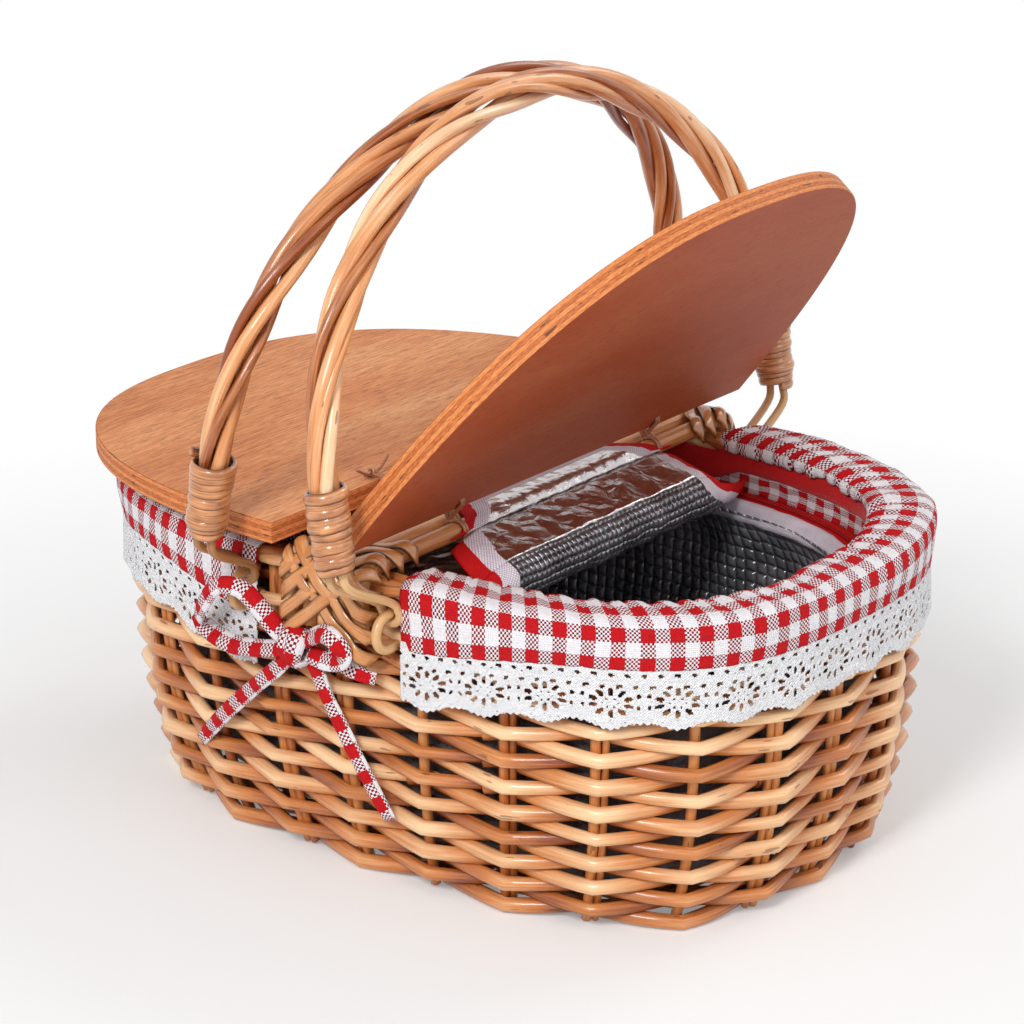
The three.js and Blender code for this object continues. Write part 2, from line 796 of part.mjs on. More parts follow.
const sliderPlace = zipTrack(sliderAngle);
const trackStep = Math.PI / ovalSteps;
slider.rotateZ(zipTrack(sliderAngle + trackStep).sub(sliderPlace).angle());
slider.translate(sliderPlace.x, sliderPlace.y, zipTop + gap + sliderHeight / 2);
piece('zip_slider', slider, 'foil');

// Rattan eyes: hairpins whose two ends meet the woven side
function eye(x, side) {
  const face = sideFaceAt(x, eyeUpperHeight) + gap;
  const centre = face + linkPlace + linkRodRadius + looseGap;
  const bend = evenSteps(Math.PI / 2, -Math.PI / 2, eyeBendSteps).map((a) => new THREE.Vector3(
    x,
    side * (centre + eyeBendRadius * Math.cos(a)),
    eyeUpperHeight - eyeBendRadius + eyeBendRadius * Math.sin(a),
  ));
  const upper = new THREE.Vector3(x, side * face, eyeUpperHeight);
  const lower = new THREE.Vector3(x, side * face, eyeUpperHeight - 2 * eyeBendRadius);
  return rodAlong([upper, ...bend, lower], eyeRodRadius, eyeRodSides);
}

// Handles, each built upright about its own axis, which is the upper leg of its two eyes
const bindingTop = bindingStart + bindingHeight;
const linkArcRadius = eyeRodRadius + looseGap + linkRodRadius;
const linkTop = bindingStart + linkOverlap;
const legBottom = linkTop + gap;

function handleLine(height) {
  const archHeight = height - bindingTop;
  const line = [new THREE.Vector3(0, -handleHalfSpan, legBottom)];
  for (let i = 0; i <= handleArchSteps; i += 1) {
    const angle = Math.PI * (i / handleArchSteps);
    const c = Math.cos(angle);
    const s = Math.sin(angle);
    line.push(new THREE.Vector3(
      0,
      -handleHalfSpan * Math.sign(c) * Math.abs(c) ** (2 / handleArchPower),
      bindingTop + archHeight * Math.abs(s) ** (2 / handleArchPower),
    ));
  }
  line.push(new THREE.Vector3(0, handleHalfSpan, legBottom));
  return line;
}

// Bundle of rods twisted round each other
function rodBundle(height) {
  const line = handleLine(height);
  const sections = line.map((p, i) => {
    const before = line[Math.max(i - 1, 0)];
    const after = line[Math.min(i + 1, line.length - 1)];
    const along = after.clone().sub(before).normalize();
    const side = new THREE.Vector3(1, 0, 0);
    const up = new THREE.Vector3().crossVectors(along, side);
    const share = i / (line.length - 1);
    const twist = handleTwists * 2 * Math.PI * share;
    const fromEnd = Math.min(share, 1 - share);
    const swell = THREE.MathUtils.smoothstep(fromEnd, handleSwellStart, handleSwellEnd);
    const full = THREE.MathUtils.lerp(handleFootRadius, handleTopRadius, swell);
    return roundAngles(3 * handleLobes).map((a) => {
      const radius = full - handleLobeDepth * (0.5 - 0.5 * Math.cos(handleLobes * a));
      return p.clone()
        .addScaledVector(side, radius * Math.cos(a + twist))
        .addScaledVector(up, radius * Math.sin(a + twist));
    });
  });
  return skin(sections, false);
}

// One unbroken cane wound round a handle foot
const bindingReach = (bindingOuterRadius - bindingThickness / 2) / Math.cos(Math.PI / bindingTurnSteps);
const bindingOutline = roundAngles(bindingTurnSteps)
  .map((a) => new THREE.Vector2(bindingReach * Math.cos(a), bindingReach * Math.sin(a)));
const bindingPitch = (bindingHeight - bindingWidth) / bindingTurns;

function binding() {
  const start = bindingStart + bindingWidth / 2;
  return woundCane(bindingOutline, bindingTurns, bindingPitch, start, bindingThickness, bindingWidth);
}

const bindingGap = turnGap(bindingOutline, bindingPitch, bindingWidth);
const lashingGap = turnGap(lashingOutline(1), lashingPitch, lashingWidth);
console.log(`least gap of a wound cane to itself: binding ${bindingGap.toFixed(2)} mm`);
console.log(`least gap of a wound cane to itself: bar lashing ${lashingGap.toFixed(2)} mm`);

// Rattan link: a hairpin that hangs round the eye's upper leg and leans out to the handle foot
function link(x, side) {
  const near = sideFaceAt(x, eyeUpperHeight) + gap + linkPlace;
  const lean = (height) => THREE.MathUtils.lerp(
    near,
    handleHalfSpan,
    THREE.MathUtils.smoothstep(height, linkLeanStart, linkLeanEnd),
  );
  const bend = evenSteps(Math.PI, 2 * Math.PI, eyeRodSides).map((a) => new THREE.Vector3(
    linkArcRadius * Math.cos(a),
    side * near,
    linkArcRadius * Math.sin(a),
  ));
  const legs = evenSteps(linkLegStart, linkTop, linkLegSteps);
  const left = legs.map((h) => new THREE.Vector3(-linkArcRadius, side * lean(h), h)).reverse();
  const right = legs.map((h) => new THREE.Vector3(linkArcRadius, side * lean(h), h));
  return rodAlong([...left, ...bend, ...right], linkRodRadius, eyeRodSides);
}

function addHandle(name, eyePlace) {
  const topPlace = Math.sign(eyePlace) * handleTopPlace + handleTopShift;
  const rise = handleTopHeight - eyeUpperHeight;
  const inward = topPlace - eyePlace;
  const height = Math.hypot(rise, inward);
  const handle = new THREE.Group();
  handle.position.set(eyePlace, 0, eyeUpperHeight);
  handle.rotation.y = Math.atan2(inward, rise);
  basket.add(handle);
  piece(`handle_${name}`, rodBundle(height), 'willowPale', handle);
  [['near', -1], ['far', 1]].forEach(([where, side]) => {
    piece(`binding_${name}_${where}`, placed(binding(), 0, side * handleHalfSpan, 0), 'cane', handle);
    piece(`link_${name}_${where}`, link(eyePlace, side), 'rattan', handle);
    piece(`eye_${name}_${where}`, eye(eyePlace, side), 'rattan');
  });
}

addHandle('left', eyePlaces.left);
addHandle('right', eyePlaces.right);

// Bows that tie the two cuff pieces together across the hinge bar.
// Each point is [along the basket, out from the woven side, down from the bar's ends].
const bowStrips = {
  bigLoop: [
    [-17, 9, 9], [-24, 12, 4], [-31, 16, -6], [-38, 18.5, -12], [-46, 21, -12], [-53, 20.5, -7],
    [-59, 19, 0], [-67, 15, 7], [-71, 11.5, 13], [-66, 9.5, 18], [-50, 10, 19.5], [-32, 9.5, 16.5], [-17, 9, 11],
  ],
  smallLoop: [
    [-9, 9, 8], [-1, 13, 5], [7, 17, 2.5], [15, 18, 3], [17, 15, 8], [8, 11, 11], [-9, 9, 12],
  ],
  leftTail: [[-16, 8.5, 13], [-27, 7.5, 23], [-38, 7, 33], [-62, 5, 55], [-82, 1.9, 73.5], [-87, 1.9, 78]],
  rightTail: [[-10, 8.5, 14], [-2, 7, 29], [12, 5, 55], [20.5, 1.9, 73.5], [26, 1.9, 84]],
};

// Distance out from the side's face at a strip point, so that the strip lies on the curved side
function bowPoint([x, out, drop], side) {
  const height = barEndHeight - drop;
  return new THREE.Vector3(x, side * (sideFaceAt(x, height) + out), height);
}

function bow(side) {
  const knot = new THREE.SphereGeometry(1, 8, 6).scale(...knotSize);
  const centre = bowPoint(knotCentre, side);
  let solid = toSolid(placed(knot, centre.x, centre.y, centre.z));
  Object.values(bowStrips).forEach((points) => {
    const route = points.map((p) => bowPoint(p, side));
    solid = solid.add(toSolid(rodAlong(route, bowStripRadius, bowStripSides)));
  });
  return toGeometry(solid);
}

piece('bow_near', bow(-1), 'gingham');
piece('bow_far', bow(1), 'gingham');

export default basket;
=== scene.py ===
import math
import random

import bmesh
import bpy
import numpy as np
from mathutils import Matrix, Vector, noise


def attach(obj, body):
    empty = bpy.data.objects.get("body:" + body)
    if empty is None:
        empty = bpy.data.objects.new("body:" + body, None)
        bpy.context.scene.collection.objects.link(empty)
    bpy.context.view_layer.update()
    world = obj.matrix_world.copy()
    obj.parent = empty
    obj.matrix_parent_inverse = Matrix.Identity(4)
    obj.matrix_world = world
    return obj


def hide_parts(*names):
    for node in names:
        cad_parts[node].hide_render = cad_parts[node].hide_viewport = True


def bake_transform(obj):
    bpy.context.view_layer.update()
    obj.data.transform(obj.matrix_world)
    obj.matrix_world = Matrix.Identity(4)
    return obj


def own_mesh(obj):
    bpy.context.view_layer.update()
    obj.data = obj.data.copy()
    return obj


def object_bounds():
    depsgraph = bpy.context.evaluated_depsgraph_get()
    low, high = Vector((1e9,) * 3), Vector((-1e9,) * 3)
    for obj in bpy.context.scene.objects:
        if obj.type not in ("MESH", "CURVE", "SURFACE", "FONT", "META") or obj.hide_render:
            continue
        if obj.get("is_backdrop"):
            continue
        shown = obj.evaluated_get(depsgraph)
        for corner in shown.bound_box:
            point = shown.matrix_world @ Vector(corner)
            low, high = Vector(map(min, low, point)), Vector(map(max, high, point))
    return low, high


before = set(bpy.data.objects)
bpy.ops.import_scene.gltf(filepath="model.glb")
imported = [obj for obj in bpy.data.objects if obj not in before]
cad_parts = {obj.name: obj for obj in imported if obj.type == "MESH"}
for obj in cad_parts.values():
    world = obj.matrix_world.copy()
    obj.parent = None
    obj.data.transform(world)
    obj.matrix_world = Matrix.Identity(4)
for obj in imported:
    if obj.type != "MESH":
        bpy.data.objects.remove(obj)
cad_box = [list(corner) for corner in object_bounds()]


# Camera, light and floor
# A long lens looks down a little at the basket's near right corner, from where the photograph was taken.
# Two soft lamps and a white backdrop light it, and a pale floor keeps its shadow.
mm = 0.001
azimuth = math.radians(38.25)
elevation = math.radians(19.36)
camera_distance = 1.689
aim = Vector((0, 0, 0.15))
toward_camera = Vector((
    math.sin(azimuth) * math.cos(elevation),
    -math.cos(azimuth) * math.cos(elevation),
    math.sin(elevation),
))
camera_data = bpy.data.cameras.new("camera")
camera_data.sensor_width = 36
camera_data.lens = 133.6
camera_data.shift_x = -0.0075
camera_data.shift_y = -0.0343
camera = bpy.data.objects.new("camera", camera_data)
camera.location = aim + camera_distance * toward_camera
camera.rotation_euler = toward_camera.to_track_quat("Z", "Y").to_euler()
bpy.context.collection.objects.link(camera)
bpy.context.scene.camera = camera
bpy.context.scene.view_settings.view_transform = "Standard"


def add_lamp(name, place, power, size):
    """A round soft lamp at a place, turned to the basket."""
    data = bpy.data.lights.new(name, "AREA")
    data.energy = power
    data.shape = "DISK"
    data.size = size
    lamp = bpy.data.objects.new(name, data)
    lamp.location = place
    lamp.rotation_euler = (Vector(place) - aim).to_track_quat("Z", "Y").to_euler()
    bpy.context.collection.objects.link(lamp)


add_lamp("key_lamp", (0.55, -1.95, 1.6), 36, 0.7)
add_lamp("fill_lamp", (2.2, -0.3, 1.4), 9, 1.4)
add_lamp("back_lamp", (0.6, 1.9, 1.8), 14, 1.2)


class Shade:
    """One output of a shader node. A sum written with shades adds the nodes that work it out."""

    def __init__(self, finish, socket):
        self.finish = finish
        self.socket = socket

    def maths(self, operation, first, second=0):
        return self.finish.node("ShaderNodeMath", {"operation": operation}, {0: first, 1: second})

    def __add__(self, other):
        return self.maths("ADD", self, other)

    def __sub__(self, other):
        return self.maths("SUBTRACT", self, other)

    def __rsub__(self, other):
        return self.maths("SUBTRACT", other, self)

    def __mul__(self, other):
        return self.maths("MULTIPLY", self, other)

    def __mod__(self, other):
        return self.maths("FLOORED_MODULO", self, other)

    def __pow__(self, other):
        return self.maths("POWER", self, other)

    def __gt__(self, other):
        return self.maths("GREATER_THAN", self, other)

    def __lt__(self, other):
        return self.maths("LESS_THAN", self, other)

    def __abs__(self):
        return self.maths("ABSOLUTE", self)

    __radd__ = __add__
    __rmul__ = __mul__

    def part(self, axis):
        """One of the three numbers of a vector: 0, 1 or 2."""
        return self.finish.node("ShaderNodeSeparateXYZ", {}, {0: self}, axis)

    def stretched(self, x, y, z):
        return self.finish.node("ShaderNodeVectorMath", {"operation": "MULTIPLY"}, {0: self, 1: (x, y, z)})


class Finish:
    """A node tree, and the one method that adds every node to it."""

    def __init__(self, tree, shader=None, **constants):
        self.tree = tree
        self.shader = shader
        if shader:
            self.put(shader, constants)

    def put(self, node, values):
        for key, value in values.items():
            socket = node.inputs[key.replace("_", " ") if isinstance(key, str) else key]
            if isinstance(value, Shade):
                self.tree.links.new(value.socket, socket)
            else:
                socket.default_value = value

    def node(self, kind, settings, values, output=0):
        made = self.tree.nodes.new(kind)
        for key, value in settings.items():
            if key == "stops":
                made.color_ramp.elements[0].position, made.color_ramp.elements[0].color = value[0]
                made.color_ramp.elements[1].position, made.color_ramp.elements[1].color = value[-1]
                for position, colour in value[1:-1]:
                    made.color_ramp.elements.new(position).color = colour
            else:
                setattr(made, key, value)
        self.put(made, values)
        return Shade(self, made.outputs[output])

    def noise(self, vector, scale=1, detail=2):
        values = {"Vector": vector, "Scale": scale, "Detail": detail}
        return self.node("ShaderNodeTexNoise", {}, values, "Fac")

    def ramp(self, value, *stops):
        return self.node("ShaderNodeValToRGB", {"stops": stops}, {0: value}, "Color")

    def mix(self, share, first, second):
        return self.node("ShaderNodeMix", {"data_type": "RGBA"}, {0: share, 6: first, 7: second}, 2)

    def attribute(self, name, output="Vector"):
        return self.node("ShaderNodeAttribute", {"attribute_name": name}, {}, output)

    def bump(self, height, depth, strength=1):
        values = {"Height": height, "Distance": depth, "Strength": strength}
        return self.node("ShaderNodeBump", {}, values, "Normal")


def paint(red, green, blue):
    """A colour given as it looks on a screen, each part from 0 to 255."""
    linear = [((c / 255 + 0.055) / 1.055) ** 2.4 if c > 10 else c / 3295 for c in (red, green, blue)]
    return (*linear, 1)


def new_finish(name, **constants):
    """A material, and the finish that adds nodes to it. The constants are inputs of its shader."""
    material = bpy.data.materials.new(name)
    material.use_nodes = True
    return material, Finish(material.node_tree, material.node_tree.nodes["Principled BSDF"], **constants)


def seen_by_eye_or_gloss(finish):
    """1 where a ray comes from the camera, a mirror or glass, and 0 where it only carries light."""
    rays = [finish.node("ShaderNodeLightPath", {}, {}, f"Is {kind} Ray")
            for kind in ("Camera", "Glossy", "Transmission")]
    return rays[0] + rays[1] + rays[2]


world = bpy.data.worlds.new("studio")
world.use_nodes = True
bpy.context.scene.world = world
studio = Finish(world.node_tree)
room_light = studio.node("ShaderNodeBackground", {}, {"Color": (1, 1, 1, 1), "Strength": 0.5})
backdrop = studio.node("ShaderNodeBackground", {}, {"Color": (1, 1, 1, 1), "Strength": 1})
studio.put(world.node_tree.nodes["World Output"], {
    "Surface": studio.node("ShaderNodeMixShader", {}, {
        0: seen_by_eye_or_gloss(studio), 1: room_light, 2: backdrop,
    }),
})


def as_mesh(bm):
    """The bmesh as a new mesh. Its vertices keep their units."""
    mesh = bpy.data.meshes.new("mesh")
    bm.to_mesh(mesh)
    bm.free()
    return mesh


floor_radius = 6
shadow_reach = 0.25
white_reach = 0.55
floor_bm = bmesh.new()
bmesh.ops.create_circle(floor_bm, cap_ends=True, segments=96, radius=floor_radius)
floor_mesh = as_mesh(floor_bm)
floor = bpy.data.objects.new("floor", floor_mesh)
bpy.context.collection.objects.link(floor)
floor_material, floor_finish = new_finish("pale_floor", Roughness=0.9, Specular_IOR_Level=0.1)
floor_spot = floor_finish.node("ShaderNodeTexCoord", {}, {}, "Object")
floor_reach = floor_finish.node("ShaderNodeVectorMath", {"operation": "LENGTH"}, {0: floor_spot}, "Value")
floor_cloud = floor_finish.noise(floor_spot, 3)
floor_colour = floor_finish.mix(floor_cloud, (0.88, 0.88, 0.88, 1), (0.9, 0.9, 0.9, 1))
floor_finish.put(floor_finish.shader, {"Base Color": floor_colour})
bare_floor = Shade(floor_finish, floor_finish.shader.outputs[0])
white = floor_finish.node("ShaderNodeEmission", {}, {"Color": (1, 1, 1, 1), "Strength": 1})
far_away = floor_finish.node("ShaderNodeMapRange", {}, {
    0: floor_reach, 1: shadow_reach, 2: white_reach, 3: 0.25, 4: 1,
})
whitened = floor_finish.node("ShaderNodeMixShader", {}, {
    0: far_away * seen_by_eye_or_gloss(floor_finish), 1: bare_floor, 2: white,
})
floor_finish.put(floor_material.node_tree.nodes["Material Output"], {"Surface": whitened})
floor_mesh.materials.append(floor_material)
floor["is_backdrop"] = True


# Woven side
# Rows of peeled and varnished willow rods pass in front of one stake and behind the next.
# Each row is two rods that taper from butt to tip, with their ends tucked in behind a stake.
side_half_length = 178
side_half_width = 125
side_height = 135
side_thickness = 14
foot_inset = 14.5
foot_curve_power = 3.4
row_pitch = 6.2
stake_count = 24
stake_radius = 2.4
weave_middle = 6.4
weave_swing = 5.2
weave_dip = 1.0
butt_radius = 3.4
tip_radius = 2.85
weave_steps = 8
rod_overlap = 0.25
end_slip = 1.2
# Painted light and shade: woven rods are painted lighter in front of a stake and darker behind it.
painted_front_light = 0.45
second_stake_gap = 4.2
second_stake_radii = (1.5, 2)
stake_foot = 1.5
stake_steps = 24
chance = random.Random(11)


def waver(x, y, z):
    """A number between -1 and 1 that changes smoothly with a place, and is the same on every run."""
    return noise.noise(Vector((x, y, z)))


def oval(offset, angle, half_length=side_half_length, half_width=side_half_width, power=3):
    """A point of the basket's oval, whose half axes are longer by the offset."""
    along = abs(math.cos(angle) / (half_length + offset)) ** power
    across = abs(math.sin(angle) / (half_width + offset)) ** power
    reach = (along + across) ** (-1 / power)
    return reach * math.cos(angle), reach * math.sin(angle)


oval_angles = np.linspace(-math.pi, 3 * math.pi, 2881)
oval_walk = [oval(-side_thickness / 2, angle) for angle in oval_angles]
oval_lengths = np.concatenate([[0], np.cumsum([math.dist(a, b) for a, b in zip(oval_walk, oval_walk[1:])])])
oval_lengths = oval_lengths - np.interp(0, oval_angles, oval_lengths)
oval_round = np.interp(2 * math.pi, oval_angles, oval_lengths)


def angle_at(share):
    """The angle at a share of the way round the basket, from its right end towards the far side."""
    turns = math.floor(share)
    return float(np.interp((share - turns) * oval_round, oval_lengths, oval_angles)) + turns * 2 * math.pi


def share_at(angle):
    """The share of the way round the basket at an angle."""
    turns = math.floor(angle / (2 * math.pi))
    rest = angle - turns * 2 * math.pi
    return float(np.interp(rest, oval_angles, oval_lengths)) / oval_round + turns


def side_inset(height):
    """How far the side is drawn in at a height, as it narrows to its foot."""
    return foot_inset * (1 - min(max(height / side_height, 0), 1)) ** foot_curve_power


def add_piece(name, mesh, materials, body, replaces=()):
    """A finished mesh as a piece that rides on a body."""
    mesh.name = name
    made = bpy.data.objects.new(name, mesh)
    bpy.context.collection.objects.link(made)
    for material in materials:
        mesh.materials.append(material)
    if body:
        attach(made, body)
    if replaces:
        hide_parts(*replaces)
    return made


def rods(routes, sides=8, closed=False):
    """Round rods along routes of (x, y, z, radius) and, where given, a shift of the rod's colour there.

    On the woven rows that shift is painted light and shade: lighter in front of a stake, darker behind it.
    On the handles it is each rod's own tone. Each vertex keeps where it lies on its own rod.
    """
    curve = bpy.data.curves.new("rods", "CURVE")
    curve.dimensions = "3D"
    curve.bevel_depth = mm
    curve.bevel_resolution = sides // 2 - 2
    for route in routes:
        spline = curve.splines.new("POLY")
        spline.points.add(len(route) - 1)
        spline.use_cyclic_u = closed
        for point, (x, y, z, radius, *_) in zip(spline.points, route):
            point.co = (x * mm, y * mm, z * mm, 1)
            point.radius = radius
    holder = bpy.data.objects.new("rods", curve)
    mesh = bpy.data.meshes.new_from_object(holder)
    bpy.data.objects.remove(holder)
    grain = []
    tones_and_painted_light = []
    for route in routes:
        start = chance.uniform(0, 50)
        tone = chance.random()
        length = 0
        for i, point in enumerate(route):
            length += math.dist(point[:3], route[i - 1][:3]) if i else 0
            # The fifth number goes into the tone attribute: painted light and shade on the woven rows, each
            # rod's own tone on the handles.
            tone_shift_and_painted_light = point[4] if len(point) > 4 else 0
            for side in range(sides):
                turn = 2 * math.pi * side / sides
                reach = point[3] * mm
                grain += [reach * math.cos(turn), reach * math.sin(turn), start + length * mm]
                tones_and_painted_light.append(tone + tone_shift_and_painted_light)
    mesh.attributes.new("grain", "FLOAT_VECTOR", "POINT").data.foreach_set("vector", grain)
    mesh.attributes.new("tone", "FLOAT", "POINT").data.foreach_set("value", tones_and_painted_light)
    bm = bmesh.new()
    bm.from_mesh(mesh)
    bmesh.ops.holes_fill(bm, edges=[edge for edge in bm.edges if edge.is_boundary], sides=sides)
    bmesh.ops.recalc_face_normals(bm, faces=bm.faces)
    for face in bm.faces:
        face.smooth = len(face.verts) == 4
    bm.to_mesh(mesh)
    bm.free()
    return mesh


def willow_finish(name, dark, middle, light, gloss=0.36):
    """Peeled willow under varnish: streaks along each rod, a tone of its own, painted light and shade on the
    woven rows, and small dark knots.
    """
    material, finish = new_finish(name, Coat_Weight=0.5, Coat_Roughness=0.16, Specular_IOR_Level=0.4)
    grain = finish.attribute("grain")
    # The tone attribute holds each rod's own tone, and on the woven rows painted light and shade at the stakes
    # too.
    tone = finish.attribute("tone", "Fac")
    streak = finish.noise(grain.stretched(900, 900, 45), detail=4)
    mottle = finish.noise(grain.stretched(140, 140, 30), detail=2)
    shade = tone * 0.55 + streak * 0.5 + mottle * 0.5 - 0.28
    colour = finish.ramp(shade, (0.15, paint(*dark)), (0.5, paint(*middle)), (0.88, paint(*light)))
    knot = finish.noise(grain.stretched(330, 330, 70), detail=1) > 0.73
    finish.put(finish.shader, {
        "Base Color": finish.mix(knot * 0.6, colour, paint(112, 58, 26)),
        "Roughness": gloss + mottle * 0.16,
        "Normal": finish.bump(streak + knot * 0.7, 0.0005, 0.6),
    })
    return material


def weave_wave(share, row):
    """1 where a row passes in front of a stake and -1 where it passes behind."""
    turn = math.pi * (share * stake_count + row)
    return 2 / math.pi * math.asin(math.cos(turn))


def woven_route(height, row, start, end):
    """One rod of a row, from the stake it starts behind to the one it ends behind."""
    steps = (end - start) * weave_steps + weave_steps // 2
    phase = chance.uniform(0, 10)
    size = chance.uniform(0.9, 1.12)
    route = []
    for i in range(steps + 1):
        way = i / steps
        stakes = start - rod_overlap + way * (end - start + 2 * rod_overlap)
        angle = angle_at(stakes / stake_count)
        lift = 0.5 * waver(stakes * 0.8, phase, 0)
        ending = max(0, 1 - min(way, 1 - way) * steps / 3)
        wave = weave_wave(stakes / stake_count, row)
        z = height + lift + (end_slip if way > 0.5 else -end_slip) * ending - weave_dip * wave
        swing = weave_swing * wave + 0.35 * waver(stakes * 1.7, phase, 5)
        x, y = oval(-side_inset(z) - weave_middle + swing, angle)
        radius = size * (butt_radius + (tip_radius - butt_radius) * way)
        radius *= 1 + 0.07 * waver(stakes * 2.3, phase, 9)
        # The fifth number is painted light and shade: lighter in front of a stake, darker behind it.
        route.append((x, y, z, radius, painted_front_light * wave))
    return route


row_heights = []
row_height = butt_radius + weave_dip
while row_height < side_height - butt_radius:
    row_heights.append(row_height)
    lean = side_inset(row_height) - side_inset(row_height + 1)
    row_height += row_pitch / math.hypot(1, lean)

weave_routes = []
for row, height in enumerate(row_heights):
    start = 2 * chance.randrange(stake_count // 2) + (row + 1) % 2
    half = 2 * (stake_count // 4) + chance.choice([-2, 0, 2])
    weave_routes.append(woven_route(height, row, start, start + half))
    weave_routes.append(woven_route(height, row, start + half, start + stake_count))

willow = willow_finish("varnished_willow", (138, 64, 24), (206, 130, 70), (246, 204, 156))
add_piece("woven_rows", rods(weave_routes), [willow], "basket", ["woven_side"])

stake_routes = []
for stake in range(stake_count):
    company = [(0, stake_radius)]
    if stake % 3 != 1:
        gap = chance.choice([-second_stake_gap, second_stake_gap])
        company.append((gap, chance.uniform(*second_stake_radii)))
    for beside, radius in company:
        angle = angle_at((stake + beside / oval_round * stake_count) / stake_count)
        route = []
        for i in range(stake_steps + 1):
            z = stake_foot + (side_height + 1) * i / stake_steps
            sway = 0.4 * waver(z * 0.03, stake, beside)
            x, y = oval(-side_inset(z) - weave_middle + sway, angle)
            route.append((x, y, z, radius))
        stake_routes.append(route)

stake_willow = willow_finish("stake_willow", (134, 64, 26), (194, 114, 54), (228, 162, 98))
pale_willow = willow_finish("pale_willow", (184, 112, 58), (226, 160, 98), (244, 202, 150))
add_piece("stakes", rods(stake_routes), [stake_willow], "basket")


# Woven base
# Three long sticks and a row of short ones cross in the middle, and thin rods go round and round them.
# The stakes of the side are pushed in beside their ends.
base_middle = 4
base_swing = 1.6
base_rod_radius = 2.2
base_half_length = 149
base_edge = foot_inset + side_thickness + 2
long_stick_places = (-12, 0, 12)
short_stick_places = range(-120, 121, 24)
base_ring_count = 14
base_ring_pitch = 6.1
base_ring_steps = 192
stick_shares = [i / 6 for i in range(-6, 7)]
base_sticks = []
for y in long_stick_places:
    x = oval(-base_edge, 0)[0]
    stick = [(x * share, y * (1 - 0.15 * abs(share)), base_middle, base_rod_radius) for share in stick_shares]
    base_sticks.append(stick)
for x in short_stick_places:
    reach = (side_half_width - base_edge) * (1 - abs(x / base_half_length) ** 3) ** (1 / 3)
    base_sticks.append([(x, reach * share, base_middle, base_rod_radius) for share in stick_shares])
base_rings = []
for turn in range(base_ring_count):
    offset = -base_edge - 1.2 - turn * base_ring_pitch
    ring = []
    for i in range(base_ring_steps):
        angle = 2 * math.pi * i / base_ring_steps
        x, y = oval(offset, angle)
        z = base_middle + base_swing * math.cos(stake_count * angle + math.pi * turn)
        ring.append((x, y, z, base_rod_radius))
    base_rings.append(ring)
add_piece("woven_base_rings", rods(base_rings, 8, True), [willow], "basket", ["woven_base"])
add_piece("base_sticks", rods(base_sticks), [pale_willow], "basket")


# Border
# The tops of the stakes are bent down and twisted round the rim in a flat rope of willow.
# It closes the weave, and the cuff is pulled over it.
border_height = 139.6
border_swing = (5.6, 1.7)
border_strand_radius = 2.6
border_strands = 5
border_twists = 36
border_steps = 432
border_routes = []
for strand in range(border_strands):
    route = []
    for i in range(border_steps):
        share = i / border_steps
        turn = 2 * math.pi * (border_twists * share + strand) / border_strands
        offset = -side_thickness / 2 + border_swing[0] * math.cos(turn)
        x, y = oval(offset, angle_at(share))
        route.append((x, y, border_height + border_swing[1] * math.sin(2 * turn), border_strand_radius))
    border_routes.append(route)
border_nodes = ["border_rod_outer", "border_rod_inner"]
add_piece("border", rods(border_routes, 8, True), [willow], "basket", border_nodes)


# Hinge bar
# Five stout willow rods lie side by side across the basket and are bent down over the border at both ends.
# The lids hang on the two outer ones.
bar_height = 148.2
bar_rod_radius = 4
bar_places = (-18.6, -8.3, 0, 8.3, 18.6)
bar_end_height = 119
bar_bend_middle = 122.45
bar_bend_radius = 8.6
bar_routes = []
for place in bar_places:
    half = [(bar_bend_middle + bar_bend_radius, bar_end_height + 5 * i) for i in range(4)]
    half += [
        (bar_bend_middle + bar_bend_radius * math.cos(turn), border_height + bar_bend_radius * math.sin(turn))
        for turn in np.linspace(0, math.pi / 2, 9)
    ]
    half += [(bar_bend_middle - 10 * i, bar_height) for i in range(1, 13)]
    line = [(-y, z) for y, z in half] + [(y, z) for y, z in reversed(half)]
    phase = chance.uniform(0, 10)
    bar_routes.append([
        (place + 0.5 * waver(y * 0.02, phase, 0), y, z,
         bar_rod_radius * (1 + 0.04 * waver(y * 0.05, phase, 4)))
        for y, z in line
    ])
bar_nodes = [f"hinge_bar_rod_{i}" for i in range(1, 6)]
add_piece("hinge_bar_rods", rods(bar_routes, 12), [pale_willow], "basket", bar_nodes)


# Plaited cane on the bar's ends
# Wide flat straps of split cane cross over the bent rods in both directions and hold them to the border.
# Each strap dips under its neighbours and is tucked in behind the outer rods.
strap_width = 5.6
strap_thickness = 1.1
strap_spacing = 9.5
strap_slope = 0.85
strap_pairs = 4
strap_half_reach = 25
strap_lift = 1.1
strap_swing = 0.65
strap_crown = 0.5
plait_half_width = 19
plait_curl = 0.16
near_and_far = (("near", -1), ("far", 1))


def cloth(steps_u, steps_v, shape, closed=False):
    """A grid bent by shape(u, v), which gives a place and the pattern's place, both in millimetres."""
    bm = bmesh.new()
    bmesh.ops.create_grid(bm, x_segments=steps_u, y_segments=steps_v, size=0.5)
    pattern = bm.loops.layers.uv.new("UVMap")
    placed = {}
    for vert in bm.verts:
        placed[vert] = shape(vert.co.x + 0.5, vert.co.y + 0.5)
    for face in bm.faces:
        face.smooth = True
        for loop in face.loops:
            loop[pattern].uv = [value * mm for value in placed[loop.vert][1]]
    for vert, (place, _) in placed.items():
        vert.co = Vector(place) * mm
    if closed:
        bmesh.ops.remove_doubles(bm, verts=bm.verts, dist=0.05 * mm)
    return as_mesh(bm)


def joined(meshes):
    """Several meshes as one."""
    bm = bmesh.new()
    for mesh in meshes:
        bm.from_mesh(mesh)
    return as_mesh(bm)


def thicken(made, thickness, offset=0):
    """Gives a sheet its thickness: to both sides, or with offset -1 behind its face."""
    wall = made.modifiers.new("thickness", "SOLIDIFY")
    wall.thickness = thickness * mm
    wall.offset = offset
    wall.use_even_offset = False


